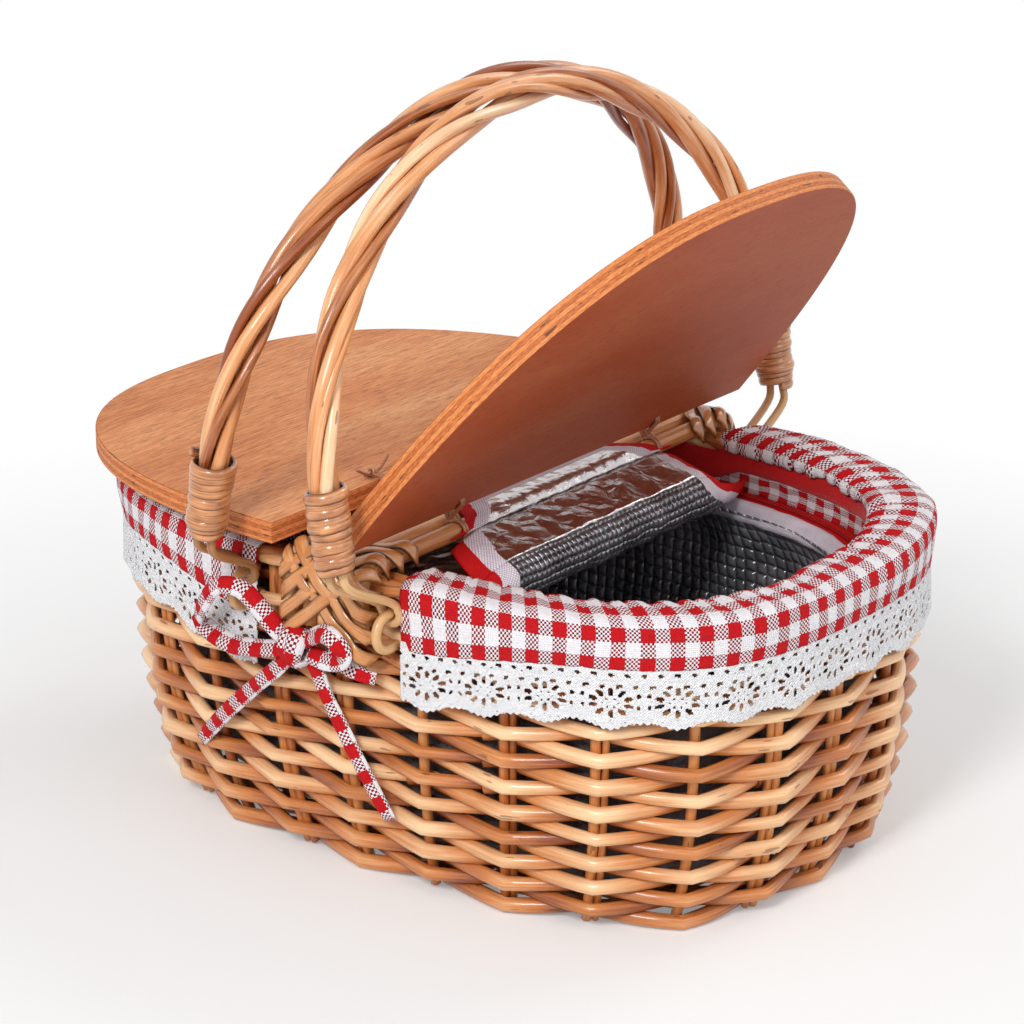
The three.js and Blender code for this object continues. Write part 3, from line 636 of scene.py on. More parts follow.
def strap_finish(name, width, dark, light):
    """Split cane: its shiny outer skin, with fine lines along the strap, and edges painted dark as painted
    shade in the gaps.
    """
    material, finish = new_finish(name, Coat_Weight=0.8, Coat_Roughness=0.12)
    spot = finish.node("ShaderNodeUVMap", {}, {})
    lines = finish.noise(spot.stretched(60, 1400, 1), detail=3)
    cloud = finish.noise(spot.stretched(90, 120, 1))
    colour = finish.ramp(lines * 0.5 + cloud * 0.5, (0.32, paint(*dark)), (0.66, paint(*light)))
    # Painted shade: the strap darkens towards both edges, standing for the shade in the gaps between straps and
    # turns.
    edge = (abs(spot.part(1)) * (2000 / width)) ** 5
    painted_edge_shade = paint(*[part * 0.3 for part in dark])
    finish.put(finish.shader, {
        "Base Color": finish.mix(edge * 0.8, colour, painted_edge_shade),
        "Roughness": 0.24 + cloud * 0.16,
        "Normal": finish.bump(lines, 0.0004, 0.5),
    })
    return material


def over_bar_end(x, walk, height, side):
    """A place over the bent rods: walk is measured down from where the bend starts."""
    reach = bar_bend_radius + bar_rod_radius + height
    beyond = max(abs(x) - plait_half_width, 0)
    reach -= plait_curl * beyond * beyond
    bend = min(max(walk / (bar_bend_radius + bar_rod_radius), 0), math.pi / 2)
    y = bar_bend_middle + reach * math.sin(bend) + min(walk, 0)
    z = border_height + reach * math.cos(bend)
    z -= max(walk - math.pi / 2 * (bar_bend_radius + bar_rod_radius), 0)
    return x, side * y, z


def strap(side, slope, start):
    """One strap that climbs over the bent rods by the slope, over one crossing strap and under the next."""
    phase = chance.uniform(0, 9)
    tilt = math.atan(slope)
    stretch = (1 + slope * slope) ** 0.5

    def shape(u, v):
        x = strap_half_reach * (2 * u - 1)
        walk = start + slope * x
        across = (v - 0.5) * strap_width
        crossings = x * stretch / strap_spacing + (0 if slope > 0 else 1) + start / strap_spacing
        over = math.cos(math.pi * crossings)
        height = strap_lift + strap_swing * over + strap_crown * (1 - (2 * v - 1) ** 2)
        place = over_bar_end(x - across * math.sin(tilt), walk + across * math.cos(tilt), height, side)
        return place, (x + phase * 20, across)

    return cloth(36, 4, shape)


cane_strap = strap_finish("split_cane", strap_width, (176, 100, 44), (228, 160, 94))
for where, side in near_and_far:
    straps = [strap(side, strap_slope * way, strap_spacing * i)
              for i in range(strap_pairs) for way in (1, -1)]
    plait_nodes = [f"bar_lashing_{where}"]
    plait = add_piece(f"bar_plait_{where}", joined(straps), [cane_strap], "basket", plait_nodes)
    thicken(plait, strap_thickness)


# Lids
# Two half ovals of five-ply board, sawn to shape, with their edges left open to show the plies.
# The face grain runs across the basket. Each lid is drilled twice for its ties.
lid_half_length = 200
lid_half_width = 141
lid_power = 2.6
lid_thickness = 9.4
lid_edge = 21.5
lid_bottom = -0.3
lid_outline_steps = 96
lid_edge_rounding = 0.5
lid_axis = (16, 154.5)
lid_raised = math.radians(51.25)
tie_hole_radius = 1.7
tie_hole_sides = 12
tie_hole_place = 28.5
tie_places = (-70, 70)


def ply_finish(name, dark, middle, light):
    """Stained face veneer with open pores along its grain. The underside is painted redder and darker as
    painted shade.
    """
    material, finish = new_finish(name, Specular_IOR_Level=0.22, Coat_Weight=0.03, Coat_Roughness=0.3)
    plate = finish.attribute("plate")
    fibre = finish.noise(plate.stretched(1300, 60, 900), detail=3)
    cloud = finish.noise(plate.stretched(26, 7, 26), detail=3)
    pore = finish.noise(plate.stretched(1600, 130, 900), detail=1) > 0.6
    shade = fibre * 0.5 + cloud * 0.5
    colour = finish.ramp(shade, (0.3, paint(*dark)), (0.5, paint(*middle)), (0.72, paint(*light)))
    colour = finish.mix(pore * 0.4, colour, paint(118, 54, 26))
    # Painted shade: the board's lower face is painted darker and redder than its top.
    under = plate.part(2) < lid_thickness * mm / 2
    finish.put(finish.shader, {
        "Base Color": finish.mix(under * 0.78, colour, paint(156, 52, 16)),
        "Roughness": 0.5 + fibre * 0.15,
        "Normal": finish.bump(fibre - pore * 0.5, 0.0003, 0.5),
    })
    return material


def ply_edge_finish(name):
    """Sawn edge of the board: five plies, every other one cut across its grain, with thin dark glue lines and
    open gaps painted dark as painted shade.
    """
    material, finish = new_finish(name, Specular_IOR_Level=0.35)
    plate = finish.attribute("plate")
    layer = plate.part(2) * (5 / (lid_thickness * mm)) + finish.noise(plate, 300) * 0.25
    across = (layer % 2) > 1
    fibre = finish.noise(plate.stretched(350, 350, 2200), detail=3)
    gap = (finish.noise(plate.stretched(90, 90, 500), detail=2) > 0.66) * across
    glue = abs((layer % 1) - 0.5) > 0.44
    shade = fibre * 0.7 + 0.22 - across * 0.16
    stops = (0.2, paint(132, 62, 28)), (0.5, paint(210, 120, 62)), (0.8, paint(244, 168, 104))
    colour = finish.ramp(shade, *stops)
    # Painted shade darkens the open gaps; the glue lines are the glue's own dark colour.
    finish.put(finish.shader, {
        "Base Color": finish.mix(gap * 0.75 + glue * 0.35, colour, paint(74, 34, 18)),
        "Roughness": 0.5 + fibre * 0.2,
        "Normal": finish.bump(fibre - gap, 0.0005, 0.7),
    })
    return material


def lid_mesh(placing):
    """A board drawn flat with its axis at the origin, then put in its place."""
    bm = bmesh.new()
    reach = (1 - (lid_edge / lid_half_length) ** lid_power) ** (1 / lid_power) * lid_half_width
    start = math.atan2(reach, lid_edge)
    outlines = [[oval(0, angle, lid_half_length, lid_half_width, lid_power)
                 for angle in np.linspace(-start, start, lid_outline_steps + 1)]]
    hole = [(tie_hole_radius * math.cos(turn), tie_hole_radius * math.sin(turn))
            for turn in np.linspace(0, 2 * math.pi, tie_hole_sides + 1)[:-1]]
    for place in tie_places:
        outlines.append([(tie_hole_place + x, place + y) for x, y in hole])
    for outline in outlines:
        verts = [bm.verts.new(((x - lid_axis[0]) * mm, y * mm, lid_bottom * mm)) for x, y in outline]
        for i, vert in enumerate(verts):
            bm.edges.new((vert, verts[i - 1]))
    bmesh.ops.triangle_fill(bm, use_beauty=True, edges=bm.edges)
    raised = bmesh.ops.extrude_face_region(bm, geom=list(bm.faces), use_keep_orig=True)["geom"]
    upper = [item for item in raised if isinstance(item, bmesh.types.BMVert)]
    bmesh.ops.translate(bm, verts=upper, vec=(0, 0, lid_thickness * mm))
    bmesh.ops.recalc_face_normals(bm, faces=bm.faces)
    rims = [edge for edge in bm.edges
            if edge.calc_face_angle(0) > 1 and abs(edge.verts[0].co.z - edge.verts[1].co.z) < mm]
    bmesh.ops.bevel(bm, geom=rims, offset=lid_edge_rounding * mm, offset_type="OFFSET", segments=2, profile=0.5,
                    affect="EDGES", material=-1, clamp_overlap=True)
    for face in bm.faces:
        face.material_index = 0 if abs(face.normal.z) > 0.95 else 1
        face.smooth = False
    mesh = as_mesh(bm)
    plate = []
    for vert in mesh.vertices:
        plate += [vert.co.x, vert.co.y, vert.co.z - lid_bottom * mm]
    mesh.attributes.new("plate", "FLOAT_VECTOR", "POINT").data.foreach_set("vector", plate)
    mesh.transform(placing)
    return mesh


def lid_placing(side, raised):
    """Where a lid drawn flat on its axis goes: right or left of the bar, and raised by an angle."""
    facing = Matrix.Rotation(0 if side > 0 else math.pi, 4, "Z")
    shift = Matrix.Translation((lid_axis[0] * mm, 0, lid_axis[1] * mm))
    return facing @ shift @ Matrix.Rotation(-raised, 4, "Y")


ply_face = ply_finish("board_face", (170, 92, 48), (214, 138, 86), (240, 178, 126))
ply_edge = ply_edge_finish("board_edge")
lid_places = {"right": lid_placing(1, lid_raised), "left": lid_placing(-1, 0)}
for where, placing in lid_places.items():
    board = lid_mesh(placing)
    add_piece(f"board_{where}", board, [ply_face, ply_edge], f"lid_{where}", [f"lid_{where}"])


# Ties of the lids
# Each lid hangs on four loops of raffia: one through each hole in the board, round its straight edge,
# and one round the bar's outer rod beside it. They are knotted on top, and their ends stick out.
raffia_radius = 0.75
tie_spacing = 3
knot_reach = (1.7, 1.5)


def smooth_line(points, count):
    """Even steps along a smooth line through points."""
    knots = np.concatenate([[0], np.cumsum([math.dist(a, b) for a, b in zip(points, points[1:])])])
    line = []
    for goal in np.linspace(0, knots[-1], count + 1):
        i = min(int(np.searchsorted(knots, goal, "right")) - 1, len(points) - 2)
        t = (goal - knots[i]) / (knots[i + 1] - knots[i])
        p0, p1, p2, p3 = (Vector(points[min(max(i + k, 0), len(points) - 1)]) for k in (-1, 0, 1, 2))
        bent = (2 * p0 - 5 * p1 + 4 * p2 - p3) * t * t + (3 * p1 - p0 - 3 * p2 + p3) * t ** 3
        line.append(tuple(0.5 * (2 * p1 + (p2 - p0) * t + bent)))
    return line, float(knots[-1])


def raffia(points, placing):
    """A strand through points, which are in millimetres from the lid's axis."""
    line, _ = smooth_line(points, len(points) * 5)
    return [(*(placing @ (Vector(point) * mm) / mm), raffia_radius) for point in line]


def knot_points(x, y, z):
    """Two turns round the strands on top of the board."""
    return [(x + knot_reach[0] * math.cos(turn), y - 1.6 + 0.26 * turn, z + knot_reach[1] * math.sin(turn))
            for turn in np.linspace(0, 4 * math.pi, 17)]


def lid_tie(y, sway):
    """Two turns through the hole and round the lid's straight edge, then the knot and its ends."""
    hole = tie_hole_place - lid_axis[0]
    edge = lid_edge - lid_axis[0]
    top = lid_thickness + 0.9
    points = [(hole - 1 + sway, y - 13, top + 5), (hole - 2, y - 6, top + 1.6)]
    points.append((hole - 2.2, y - 1.8, top + 1.5))
    turn = [(hole - 0.5, top), (hole, top / 2), (hole - 0.3, -0.9), (hole / 2, -1.25), (0.6, -1), (0.8, 0.8),
            (edge - 2.1, top / 2), (edge - 0.6, top), (edge + 2, top + 0.3)]
    for beside in (-0.7, 0.7):
        points += [(x, y + beside, z) for x, z in turn]
    points += [(hole - 3, y + 2, top + 1.6), (hole - 5, y + 6.5, top + 2.4)]
    points += [(hole - 5 + sway * 2, y + 12, top + 5.5)]
    return points


def rod_tie(y, sway):
    """Two turns round the bar's outer rod, and an end that sticks up."""
    x, z = bar_places[-1] - lid_axis[0], bar_height - lid_axis[1]
    reach = bar_rod_radius + raffia_radius + 0.1
    points = [(x - 7 - sway, y + 7, z + 11), (x - 5, y + 2, z + 6.5)]
    points += [(x + reach * math.sin(turn), y - 0.8 + 0.26 * turn, z + reach * math.cos(turn))
               for turn in np.linspace(-0.6, 4 * math.pi - 0.2, 25)]
    points += [(x - 5.5, y + 4.6, z + 6)]
    return points


raffia_finish = willow_finish("raffia", (150, 88, 58), (196, 138, 102), (220, 176, 142), 0.5)
for name, placing in lid_places.items():
    still = lid_placing(1 if name == "right" else -1, 0)
    for where, y in zip(("near", "far"), tie_places):
        across = y if name == "right" else -y
        sway = chance.uniform(-1.5, 1.5)
        knot = knot_points(tie_hole_place - lid_axis[0] - 2.4, across, lid_thickness + 2.4)
        on_lid = rods([raffia(lid_tie(across, sway), placing), raffia(knot, placing)], 6)
        on_rod = rods([raffia(rod_tie(across + tie_spacing, sway), still)], 6)
        for holder, body, mesh in (("lid", f"lid_{name}", on_lid), ("rod", "basket", on_rod)):
            place_name = f"{holder}_{name}_{where}"
            add_piece(f"raffia_{place_name}", mesh, [raffia_finish], body, [f"twine_{place_name}"])


# Handles
# Each handle is a bundle of five long willow rods, twisted loosely round each other and bent to an arch.
# Both stand on the eyes of the woven side and lean in to meet at the top.
eye_places = {"left": -48, "right": 33}
eye_height = 132.5
handle_half_span = 158
handle_top = (8.4, 327)
handle_top_shift = -5
handle_arch_power = 1.95
handle_twists = 2.9
handle_strands = 5
binding_start = 25.5
binding_height = 37
handle_steps = 110
strand_radius = 2.95
strand_sizes = [1.16, 0.8, 1.04, 0.72, 0.94]
strand_tones = [0.12, -0.22, 0.02, -0.1, 0.2]


def handle_placing(place):
    """Where a handle drawn upright on its eyes' line goes, and how far its top is from that line."""
    rise = handle_top[1] - eye_height
    inward = math.copysign(handle_top[0], place) + handle_top_shift - place
    lean = Matrix.Rotation(math.atan2(inward, rise), 4, "Y")
    return Matrix.Translation((place, 0, eye_height)) @ lean, math.hypot(rise, inward)


def moved(route, placing):
    """A route of (x, y, z, radius) drawn in a handle's own frame, put in its place."""
    return [(*(placing @ Vector(point[:3])), *point[3:]) for point in route]


def handle_line(height):
    """Middle of the bundle, as points of (y, z) with equal steps between them."""
    top = binding_start + binding_height
    fine = [(-handle_half_span, binding_start + 10)]
    for turn in np.linspace(0, math.pi, 721):
        c, s = math.cos(turn), math.sin(turn)
        fine.append((-handle_half_span * math.copysign(abs(c) ** (2 / handle_arch_power), c),
                     top + (height - top) * max(s, 0) ** (2 / handle_arch_power)))
    fine.append((handle_half_span, binding_start + 10))
    walked = np.concatenate([[0], np.cumsum([math.dist(a, b) for a, b in zip(fine, fine[1:])])])
    even = np.linspace(0, walked[-1], handle_steps + 1)
    return list(zip(*[np.interp(even, walked, axis) for axis in zip(*fine)]))


def handle_routes(height, placing):
    """The rods of one handle, each wound round the bundle's middle with its own size and tone."""
    line = handle_line(height)
    phases = [2 * math.pi * k / handle_strands + chance.uniform(-0.2, 0.2) for k in range(handle_strands)]
    routes = []
    for k in range(handle_strands):
        route = []
        for i, (y, z) in enumerate(line):
            before, after = line[max(i - 1, 0)], line[min(i + 1, len(line) - 1)]
            along = Vector((0, after[0] - before[0], after[1] - before[1])).normalized()
            up = Vector((1, 0, 0)).cross(along)
            share = i / (len(line) - 1)
            inner = min(share, 1 - share)
            full = 6.6 + 1.1 * min(inner / 0.2, 1)
            wander = 0.6 * waver(share * 5, k, height)
            turn = 2 * math.pi * handle_twists * share + phases[k] + wander
            radius = strand_radius * strand_sizes[k] * (1 + 0.08 * waver(share * 22, k, 3))
            reach = full - radius + 0.5 * waver(share * 7, k, 8)
            place = Vector((0, y, z)) + reach * (math.cos(turn) * Vector((1, 0, 0)) - math.sin(turn) * up)
            route.append((*place, radius, strand_tones[k]))
        routes.append(moved(route, placing))
    return routes


handle_willow = willow_finish("handle_willow", (146, 72, 30), (224, 154, 98), (255, 226, 186), 0.26)
handle_places = {name: handle_placing(place) for name, place in eye_places.items()}
for name, (placing, height) in handle_places.items():
    mesh = rods(handle_routes(height, placing), 12)
    body = f"handle_{name}"
    add_piece(f"handle_rods_{name}", mesh, [handle_willow], body, [body])


# Bindings of the handle feet
# One long strip of split cane is wound tightly round each foot, turn on turn, over the two ends of the link.
# Each turn lies a little over the one before, and the strip's end is tucked in and sticks out at the top.
binding_turns = 11
binding_strip_width = 4.3
binding_strip_thickness = 1.3
binding_loose_end = 6
binding_reach = 7.5


def wound_strip(side, placing, slack):
    """The strip in the handle's own frame: u runs along it and v from its lower edge to its upper one."""
    wound = 2 * math.pi * binding_reach * binding_turns
    pitch = (binding_height - binding_strip_width) / binding_turns

    def shape(u, v):
        walk = u * (wound + binding_loose_end)
        turns = min(walk, wound) / wound * binding_turns
        beyond = max(walk - wound, 0)
        turn = 2 * math.pi * turns + slack
        height = binding_start + binding_strip_width / 2 + pitch * turns
        height += 1.1 * waver(turns * 0.9, slack, side) + (v - 0.5) * binding_strip_width
        height += 0.9 * waver(round(turns) * 3.7, slack, side) * math.cos(turn + slack)
        reach = binding_reach + 0.8 * (0.5 - v) + 0.9 * (1 - (2 * v - 1) ** 2)
        reach += 0.9 * waver(turns * 0.8, side, slack) + 0.8 * (turns / binding_turns) ** 3
        reach -= 1.3 * max(0, 1 - turns / 2)
        x = reach * math.cos(turn) - beyond * math.sin(turn)
        y = reach * math.sin(turn) + beyond * math.cos(turn)
        place = placing @ Vector((x, side * handle_half_span + y, height + 0.35 * beyond))
        return place, (walk, (v - 0.5) * binding_strip_width)

    return cloth(binding_turns * 30, 4, shape)


bound_cane = strap_finish("bound_cane", binding_strip_width, (132, 68, 30), (230, 160, 102))
rattan = willow_finish("rattan", (150, 92, 48), (200, 148, 94), (228, 186, 134), 0.36)
for name, (placing, _) in handle_places.items():
    for where, side in near_and_far:
        strip_mesh = wound_strip(side, placing, 0.6 + len(name) * side)
        strip = add_piece(f"wound_cane_{name}_{where}", strip_mesh, [bound_cane],
                          f"handle_{name}", [f"binding_{name}_{where}"])
        thicken(strip, binding_strip_thickness)


# Links and eyes
# A hairpin of rattan hangs on each eye and is bound into the handle's foot.
# The eye is another hairpin, whose ends are driven into the woven side.
link_radius = 1.9
link_arc_radius = 4.5
eye_radius = 2.2
eye_bend_radius = 7.75


def side_face(x, height):
    """How far out the woven side's face is at a place along the basket."""
    inset = side_inset(height)
    return (side_half_width - inset) * (1 - (abs(x) / (side_half_length - inset)) ** 3) ** (1 / 3)


def smooth(value, low, high):
    """0 up to low and 1 from high, with an even curve between them."""
    share = min(max((value - low) / (high - low), 0), 1)
    return share * share * (3 - 2 * share)


for name, (placing, _) in handle_places.items():
    place = eye_places[name]
    for where, side in near_and_far:
        near = side_face(place, eye_height) + 3.3
        leg = []
        for height in range(32, 3, -2):
            x = -link_arc_radius * (0.75 + 0.25 * smooth(30 - height, 2, 14))
            y = near + (handle_half_span - near) * smooth(height, 1, 22)
            leg.append((x, side * y, height, link_radius))
        arc = [(link_arc_radius * math.cos(turn), side * near, link_arc_radius * math.sin(turn), link_radius)
               for turn in np.linspace(math.pi, 2 * math.pi, 11)]
        other_leg = [(-x, y, height, radius) for x, y, height, radius in reversed(leg)]
        mesh = rods([moved(leg + arc + other_leg, placing)], 10)
        add_piece(f"rattan_link_{name}_{where}", mesh, [rattan],
                  f"handle_{name}", [f"link_{name}_{where}"])
        face = side_face(place, eye_height)
        centre = face + 0.3 + 3 + link_radius + 0.4
        bend = [(place, side * (centre + eye_bend_radius * math.cos(turn)),
                 eye_height - eye_bend_radius + eye_bend_radius * math.sin(turn), eye_radius)
                for turn in np.linspace(math.pi / 2, -math.pi / 2, 13)]
        bend.insert(0, (place, side * (face - 3), eye_height, eye_radius))
        bend.append((place, side * (face - 3), eye_height - 2 * eye_bend_radius, eye_radius))
        mesh = rods([bend], 10)
        add_piece(f"rattan_eye_{name}_{where}", mesh, [rattan], "basket", [f"eye_{name}_{where}"])


# Cooler bag
# A sewn bag of thin foam between a grey outer cloth and an embossed aluminium film hangs in the basket.
# Its outside shows between the rods, and its inside shows in the mouth.
bag_room = 15.6
bag_foam = 3
bag_height = 122
bag_floor = 8.6
bag_corner = 14
lining_inset = 4.2
lining_floor = 12.2
lining_top = 119
floor_share = 0.3


def cup_shape(inset, floor_height, top, crease, lip=0):
    """Bag shape: v runs over the floor first and then up the wall, to a lip that leans in."""

    def shape(u, v):
        angle = angle_at(u)
        wall = -bag_room - inset
        if v < floor_share:
            reach = v / floor_share
            edge = oval(wall - side_inset(floor_height) - bag_corner, angle)
            x, y, z = edge[0] * reach, edge[1] * reach, floor_height
        else:
            climb = (v - floor_share) / (1 - floor_share)
            z = floor_height + (top - floor_height) * climb
            corner = bag_corner * max(0, 1 - climb / 0.2) ** 2
            lean = lip * max(0, (z - top + 24) / 24) ** 1.5
            x, y = oval(wall - side_inset(z) - corner - lean, angle)
        fold = crease * (waver(x * 0.03, y * 0.03, z * 0.05) - 0.3)
        shrink = 1 + min(fold, 0) / 100
        along = u * oval_round
        up = 45 * v if v < floor_share else 45 + z
        return (x * shrink, y * shrink, z), (along, up)

    return shape


def bag_cloth_finish():
    """Taupe outer cloth of the bag, with a metal sheen where it is creased."""
    material, finish = new_finish("bag_cloth", Metallic=0.4)
    spot = finish.node("ShaderNodeTexCoord", {}, {}, "Object")
    crease = finish.noise(spot, 130, 4)
    cloud = finish.noise(spot, 24)
    colour = finish.ramp(cloud, (0.3, paint(100, 92, 94)), (0.7, paint(150, 142, 144)))
    finish.put(finish.shader, {
        "Base Color": colour,
        "Roughness": 0.36 + cloud * 0.25,
        "Normal": finish.bump(crease, 0.004, 0.8),
    })
    return material


def embossed_film_finish(name, across_pitch, along_pitch, dark, light):
    """Aluminium film pressed into a grid of small dimples, which the foam behind it pushes out again. Painted
    shade darkens the grooves.
    """
    material, finish = new_finish(name, Metallic=0.6, Specular_IOR_Level=0.8)
    spot = finish.node("ShaderNodeUVMap", {}, {})
    wander = finish.noise(spot, 90, 2) * 0.5
    across = spot.part(0) * (1000 / across_pitch) + wander
    along = spot.part(1) * (1000 / along_pitch) + wander
    cell = abs((across % 1) - 0.5) * 2
    row = abs((along % 1) - 0.5) * 2
    pillow = (1 - cell ** 3) * (1 - row ** 3)
    crinkle = finish.noise(spot, 420, 3)
    cloud = finish.noise(spot, 40)
    colour = finish.ramp(cloud, (0.3, paint(*dark)), (0.7, paint(*light)))
    # Painted shade: the grooves between the pillows are darkened in the colour.
    finish.put(finish.shader, {
        "Base Color": finish.mix((1 - pillow) * 0.4, colour, paint(78, 74, 74)),
        "Roughness": 0.2 + cloud * 0.16,
        "Normal": finish.bump(pillow + crinkle * 0.3, 0.0022, 0.8),
    })
    return material


bag_mesh = cloth(192, 40, cup_shape(0, bag_floor, bag_height, 2.2), True)
bag_outside = add_piece("bag_outside", bag_mesh, [bag_cloth_finish()], "basket", ["bag_shell"])
thicken(bag_outside, bag_foam, -1)

embossed_film = embossed_film_finish("embossed_film", 6.2, 5.6, (128, 128, 134), (190, 190, 196))
lining_mesh = cloth(192, 40, cup_shape(lining_inset, lining_floor, lining_top, 2.5, 9.5), True)
bag_inside = add_piece("bag_inside", lining_mesh, [embossed_film], "basket", ["bag_lining"])
thicken(bag_inside, 0.6, -1)


# Bands inside the rim
# Under the cuff a red plush band runs round the rim, then a band of gingham, and the zip's red tape.
# A strip of lilac twill edges the bag's mouth.
check_size = 6.35
thread_pitch = 0.95
zip_height = 123
cuff_gap_middle = -7
cuff_gap_reach = (36, 54)


def twill_finish(name, first, second, pitch=0.7):
    """Cloth of fine slanting ribs in two colours."""
    material, finish = new_finish(name, Specular_IOR_Level=0.25)
    spot = finish.node("ShaderNodeUVMap", {}, {})
    slant = (spot.part(0) + spot.part(1)) * (1000 / pitch)
    rib = abs((slant % 1) - 0.5) * 2
    weft = abs(((spot.part(0) - spot.part(1)) * (1000 / pitch) % 1) - 0.5) * 2
    cloud = finish.noise(spot, 90, 3)
    finish.put(finish.shader, {
        "Base Color": finish.mix((rib * weft + cloud * 0.5) * 1.2, paint(*first), paint(*second)),
        "Roughness": 0.75 + cloud * 0.15,
        "Normal": finish.bump(rib + weft, 0.0002, 0.7),
    })
    return material


def plush_finish():
    """Short red pile, lighter where it catches the light at its edges."""
    material, finish = new_finish("red_plush", Sheen_Weight=0.5, Sheen_Roughness=0.4,
                                  Sheen_Tint=(1, 0.3, 0.3, 1))
    spot = finish.node("ShaderNodeTexCoord", {}, {}, "Object")
    pile = finish.noise(spot, 1400, 2)
    cloud = finish.noise(spot, 60)
    finish.put(finish.shader, {
        "Base Color": finish.mix(cloud * 0.6 + pile * 0.4, paint(168, 4, 10), paint(222, 12, 18)),
        "Roughness": 0.8 + pile * 0.15,
        "Normal": finish.bump(pile, 0.0008, 0.7),
    })
    return material


def gingham_finish():
    """Plain weave of red and white threads in even checks, mixed thread by thread where they cross."""
    material, finish = new_finish("gingham", Specular_IOR_Level=0.25)
    spot = finish.node("ShaderNodeUVMap", {}, {})
    u = spot.part(0) * (1000 / check_size)
    v = spot.part(1) * (1000 / check_size)
    wander = finish.noise(spot, 260, 2) * 0.1
    red_warp = ((u + wander) % 2) < 1
    red_weft = ((v + wander) % 2) < 1
    warp = spot.part(0) * (1000 / thread_pitch)
    weft = spot.part(1) * (1000 / thread_pitch)
    over = abs(((warp % 2) > 1) - ((weft % 2) > 1))
    red = red_warp * over + red_weft * (1 - over)
    slub = finish.noise(spot.stretched(300, 1800, 1)) + finish.noise(spot.stretched(1800, 300, 1))
    white = finish.mix(slub - 0.5, paint(214, 210, 216), paint(248, 246, 248))
    crimson = finish.mix(slub - 0.5, paint(160, 4, 14), paint(214, 18, 28))
    crimson = finish.mix(abs(red_warp - red_weft) * 0.75, crimson, paint(112, 6, 26))
    thread = abs((warp % 1) - 0.5) + abs((weft % 1) - 0.5) + slub * 0.5
    finish.put(finish.shader, {
        "Base Color": finish.mix(red, white, crimson),
        "Roughness": 0.78 + slub * 0.08,
        "Normal": finish.bump(slub * 0.4 - thread, 0.0004, 0.8),
    })
    return material


def ring_band(section, ripple, waves, bare_dip=0):
    """A band round the whole rim, whose section is a list of (offset, height). It dips between the cuffs."""

    def shape(u, v):
        place = v * (len(section) - 1)
        i = min(int(place), len(section) - 2)
        offset, z = [a + (b - a) * (place - i) for a, b in zip(section[i], section[i + 1])]
        turn = 2 * math.pi * u
        wave = ripple * waver(math.cos(turn) * waves, math.sin(turn) * waves, v * 2)
        x, y = oval(offset + wave, angle_at(u))
        bare = 1 - smooth(abs(x - cuff_gap_middle), *cuff_gap_reach)
        return (x, y, z + 0.5 * wave - bare_dip * bare), (u * oval_round, place * 8)

    return shape


gingham = gingham_finish()
red_plush = plush_finish()
red_tape = twill_finish("red_tape", (176, 6, 12), (214, 20, 24), 0.9)
lilac_twill = twill_finish("lilac_twill", (150, 128, 152), (252, 248, 254), 1.5)

plush_section = [(-16.8, 133.2), (-18, 134.2), (-18.6, 137.5), (-18.4, 142), (-17.2, 146)]
plush = add_piece("red_band", cloth(240, 8, ring_band(plush_section, 0.5, 14, 6), True),
                  [red_plush], "basket", ["plush_band"])
thicken(plush, 1.2)

band_section = [(-17.2, 123.6), (-16.8, 127), (-16.8, 130.5), (-17, 134.4)]
band = add_piece("gingham_lining", cloth(300, 8, ring_band(band_section, 0.9, 22), True),
                 [gingham], "basket", ["gingham_band"])
thicken(band, 0.5)

tape_section = [(offset, zip_height + rise) for offset, rise in [
    (-16.6, 0), (-20, 0.5), (-24, 0.2), (-26.6, -0.4),
]]
tape = add_piece("red_zip_tape", cloth(240, 8, ring_band(tape_section, 0.4, 12), True),
                 [red_tape], "basket", ["zip_tape"])
thicken(tape, 1)

twill_section = [(offset, zip_height + rise) for offset, rise in [
    (-26.4, 0.6), (-28.2, -0.4), (-29.4, -3.6), (-29.8, -8.4),
]]
twill = add_piece("lilac_binding", cloth(240, 8, ring_band(twill_section, 0.5, 16), True),
                  [lilac_twill], "basket", ["twill_binding"])
thicken(twill, 0.9)


# Zip
# A coil of fine nylon runs along the red tape, and its metal slider waits at the end of its track.
# The slider is a small cast body with a pull of bent sheet on a bridge.
zip_track = -23.4
zip_coil_height = zip_height + 1.3
coil_turns = 900
coil_swing = 0.8
coil_thread_radius = 0.45
slider_angle = -0.9
slider_size = (9, 6, 3)
pull_size = (15, 3.4, 1)
pull_start = 3.2
bridge_radius = 1.1

coil_route = []
for i in range(coil_turns):
    x, y = oval(zip_track + (coil_swing if i % 2 else -coil_swing), 2 * math.pi * i / coil_turns)
    coil_route.append((x, y, zip_coil_height, coil_thread_radius))
nylon_material, nylon_finish = new_finish("zip_nylon", Specular_IOR_Level=0.5, Roughness=0.35)
nylon_grain = nylon_finish.noise(nylon_finish.node("ShaderNodeTexCoord", {}, {}, "Object"), 900)
nylon_finish.put(nylon_finish.shader, {
    "Base Color": nylon_finish.mix(nylon_grain, paint(146, 8, 14), paint(196, 22, 28)),
})
add_piece("zip_coil", rods([coil_route], 6, True), [nylon_material], "basket")

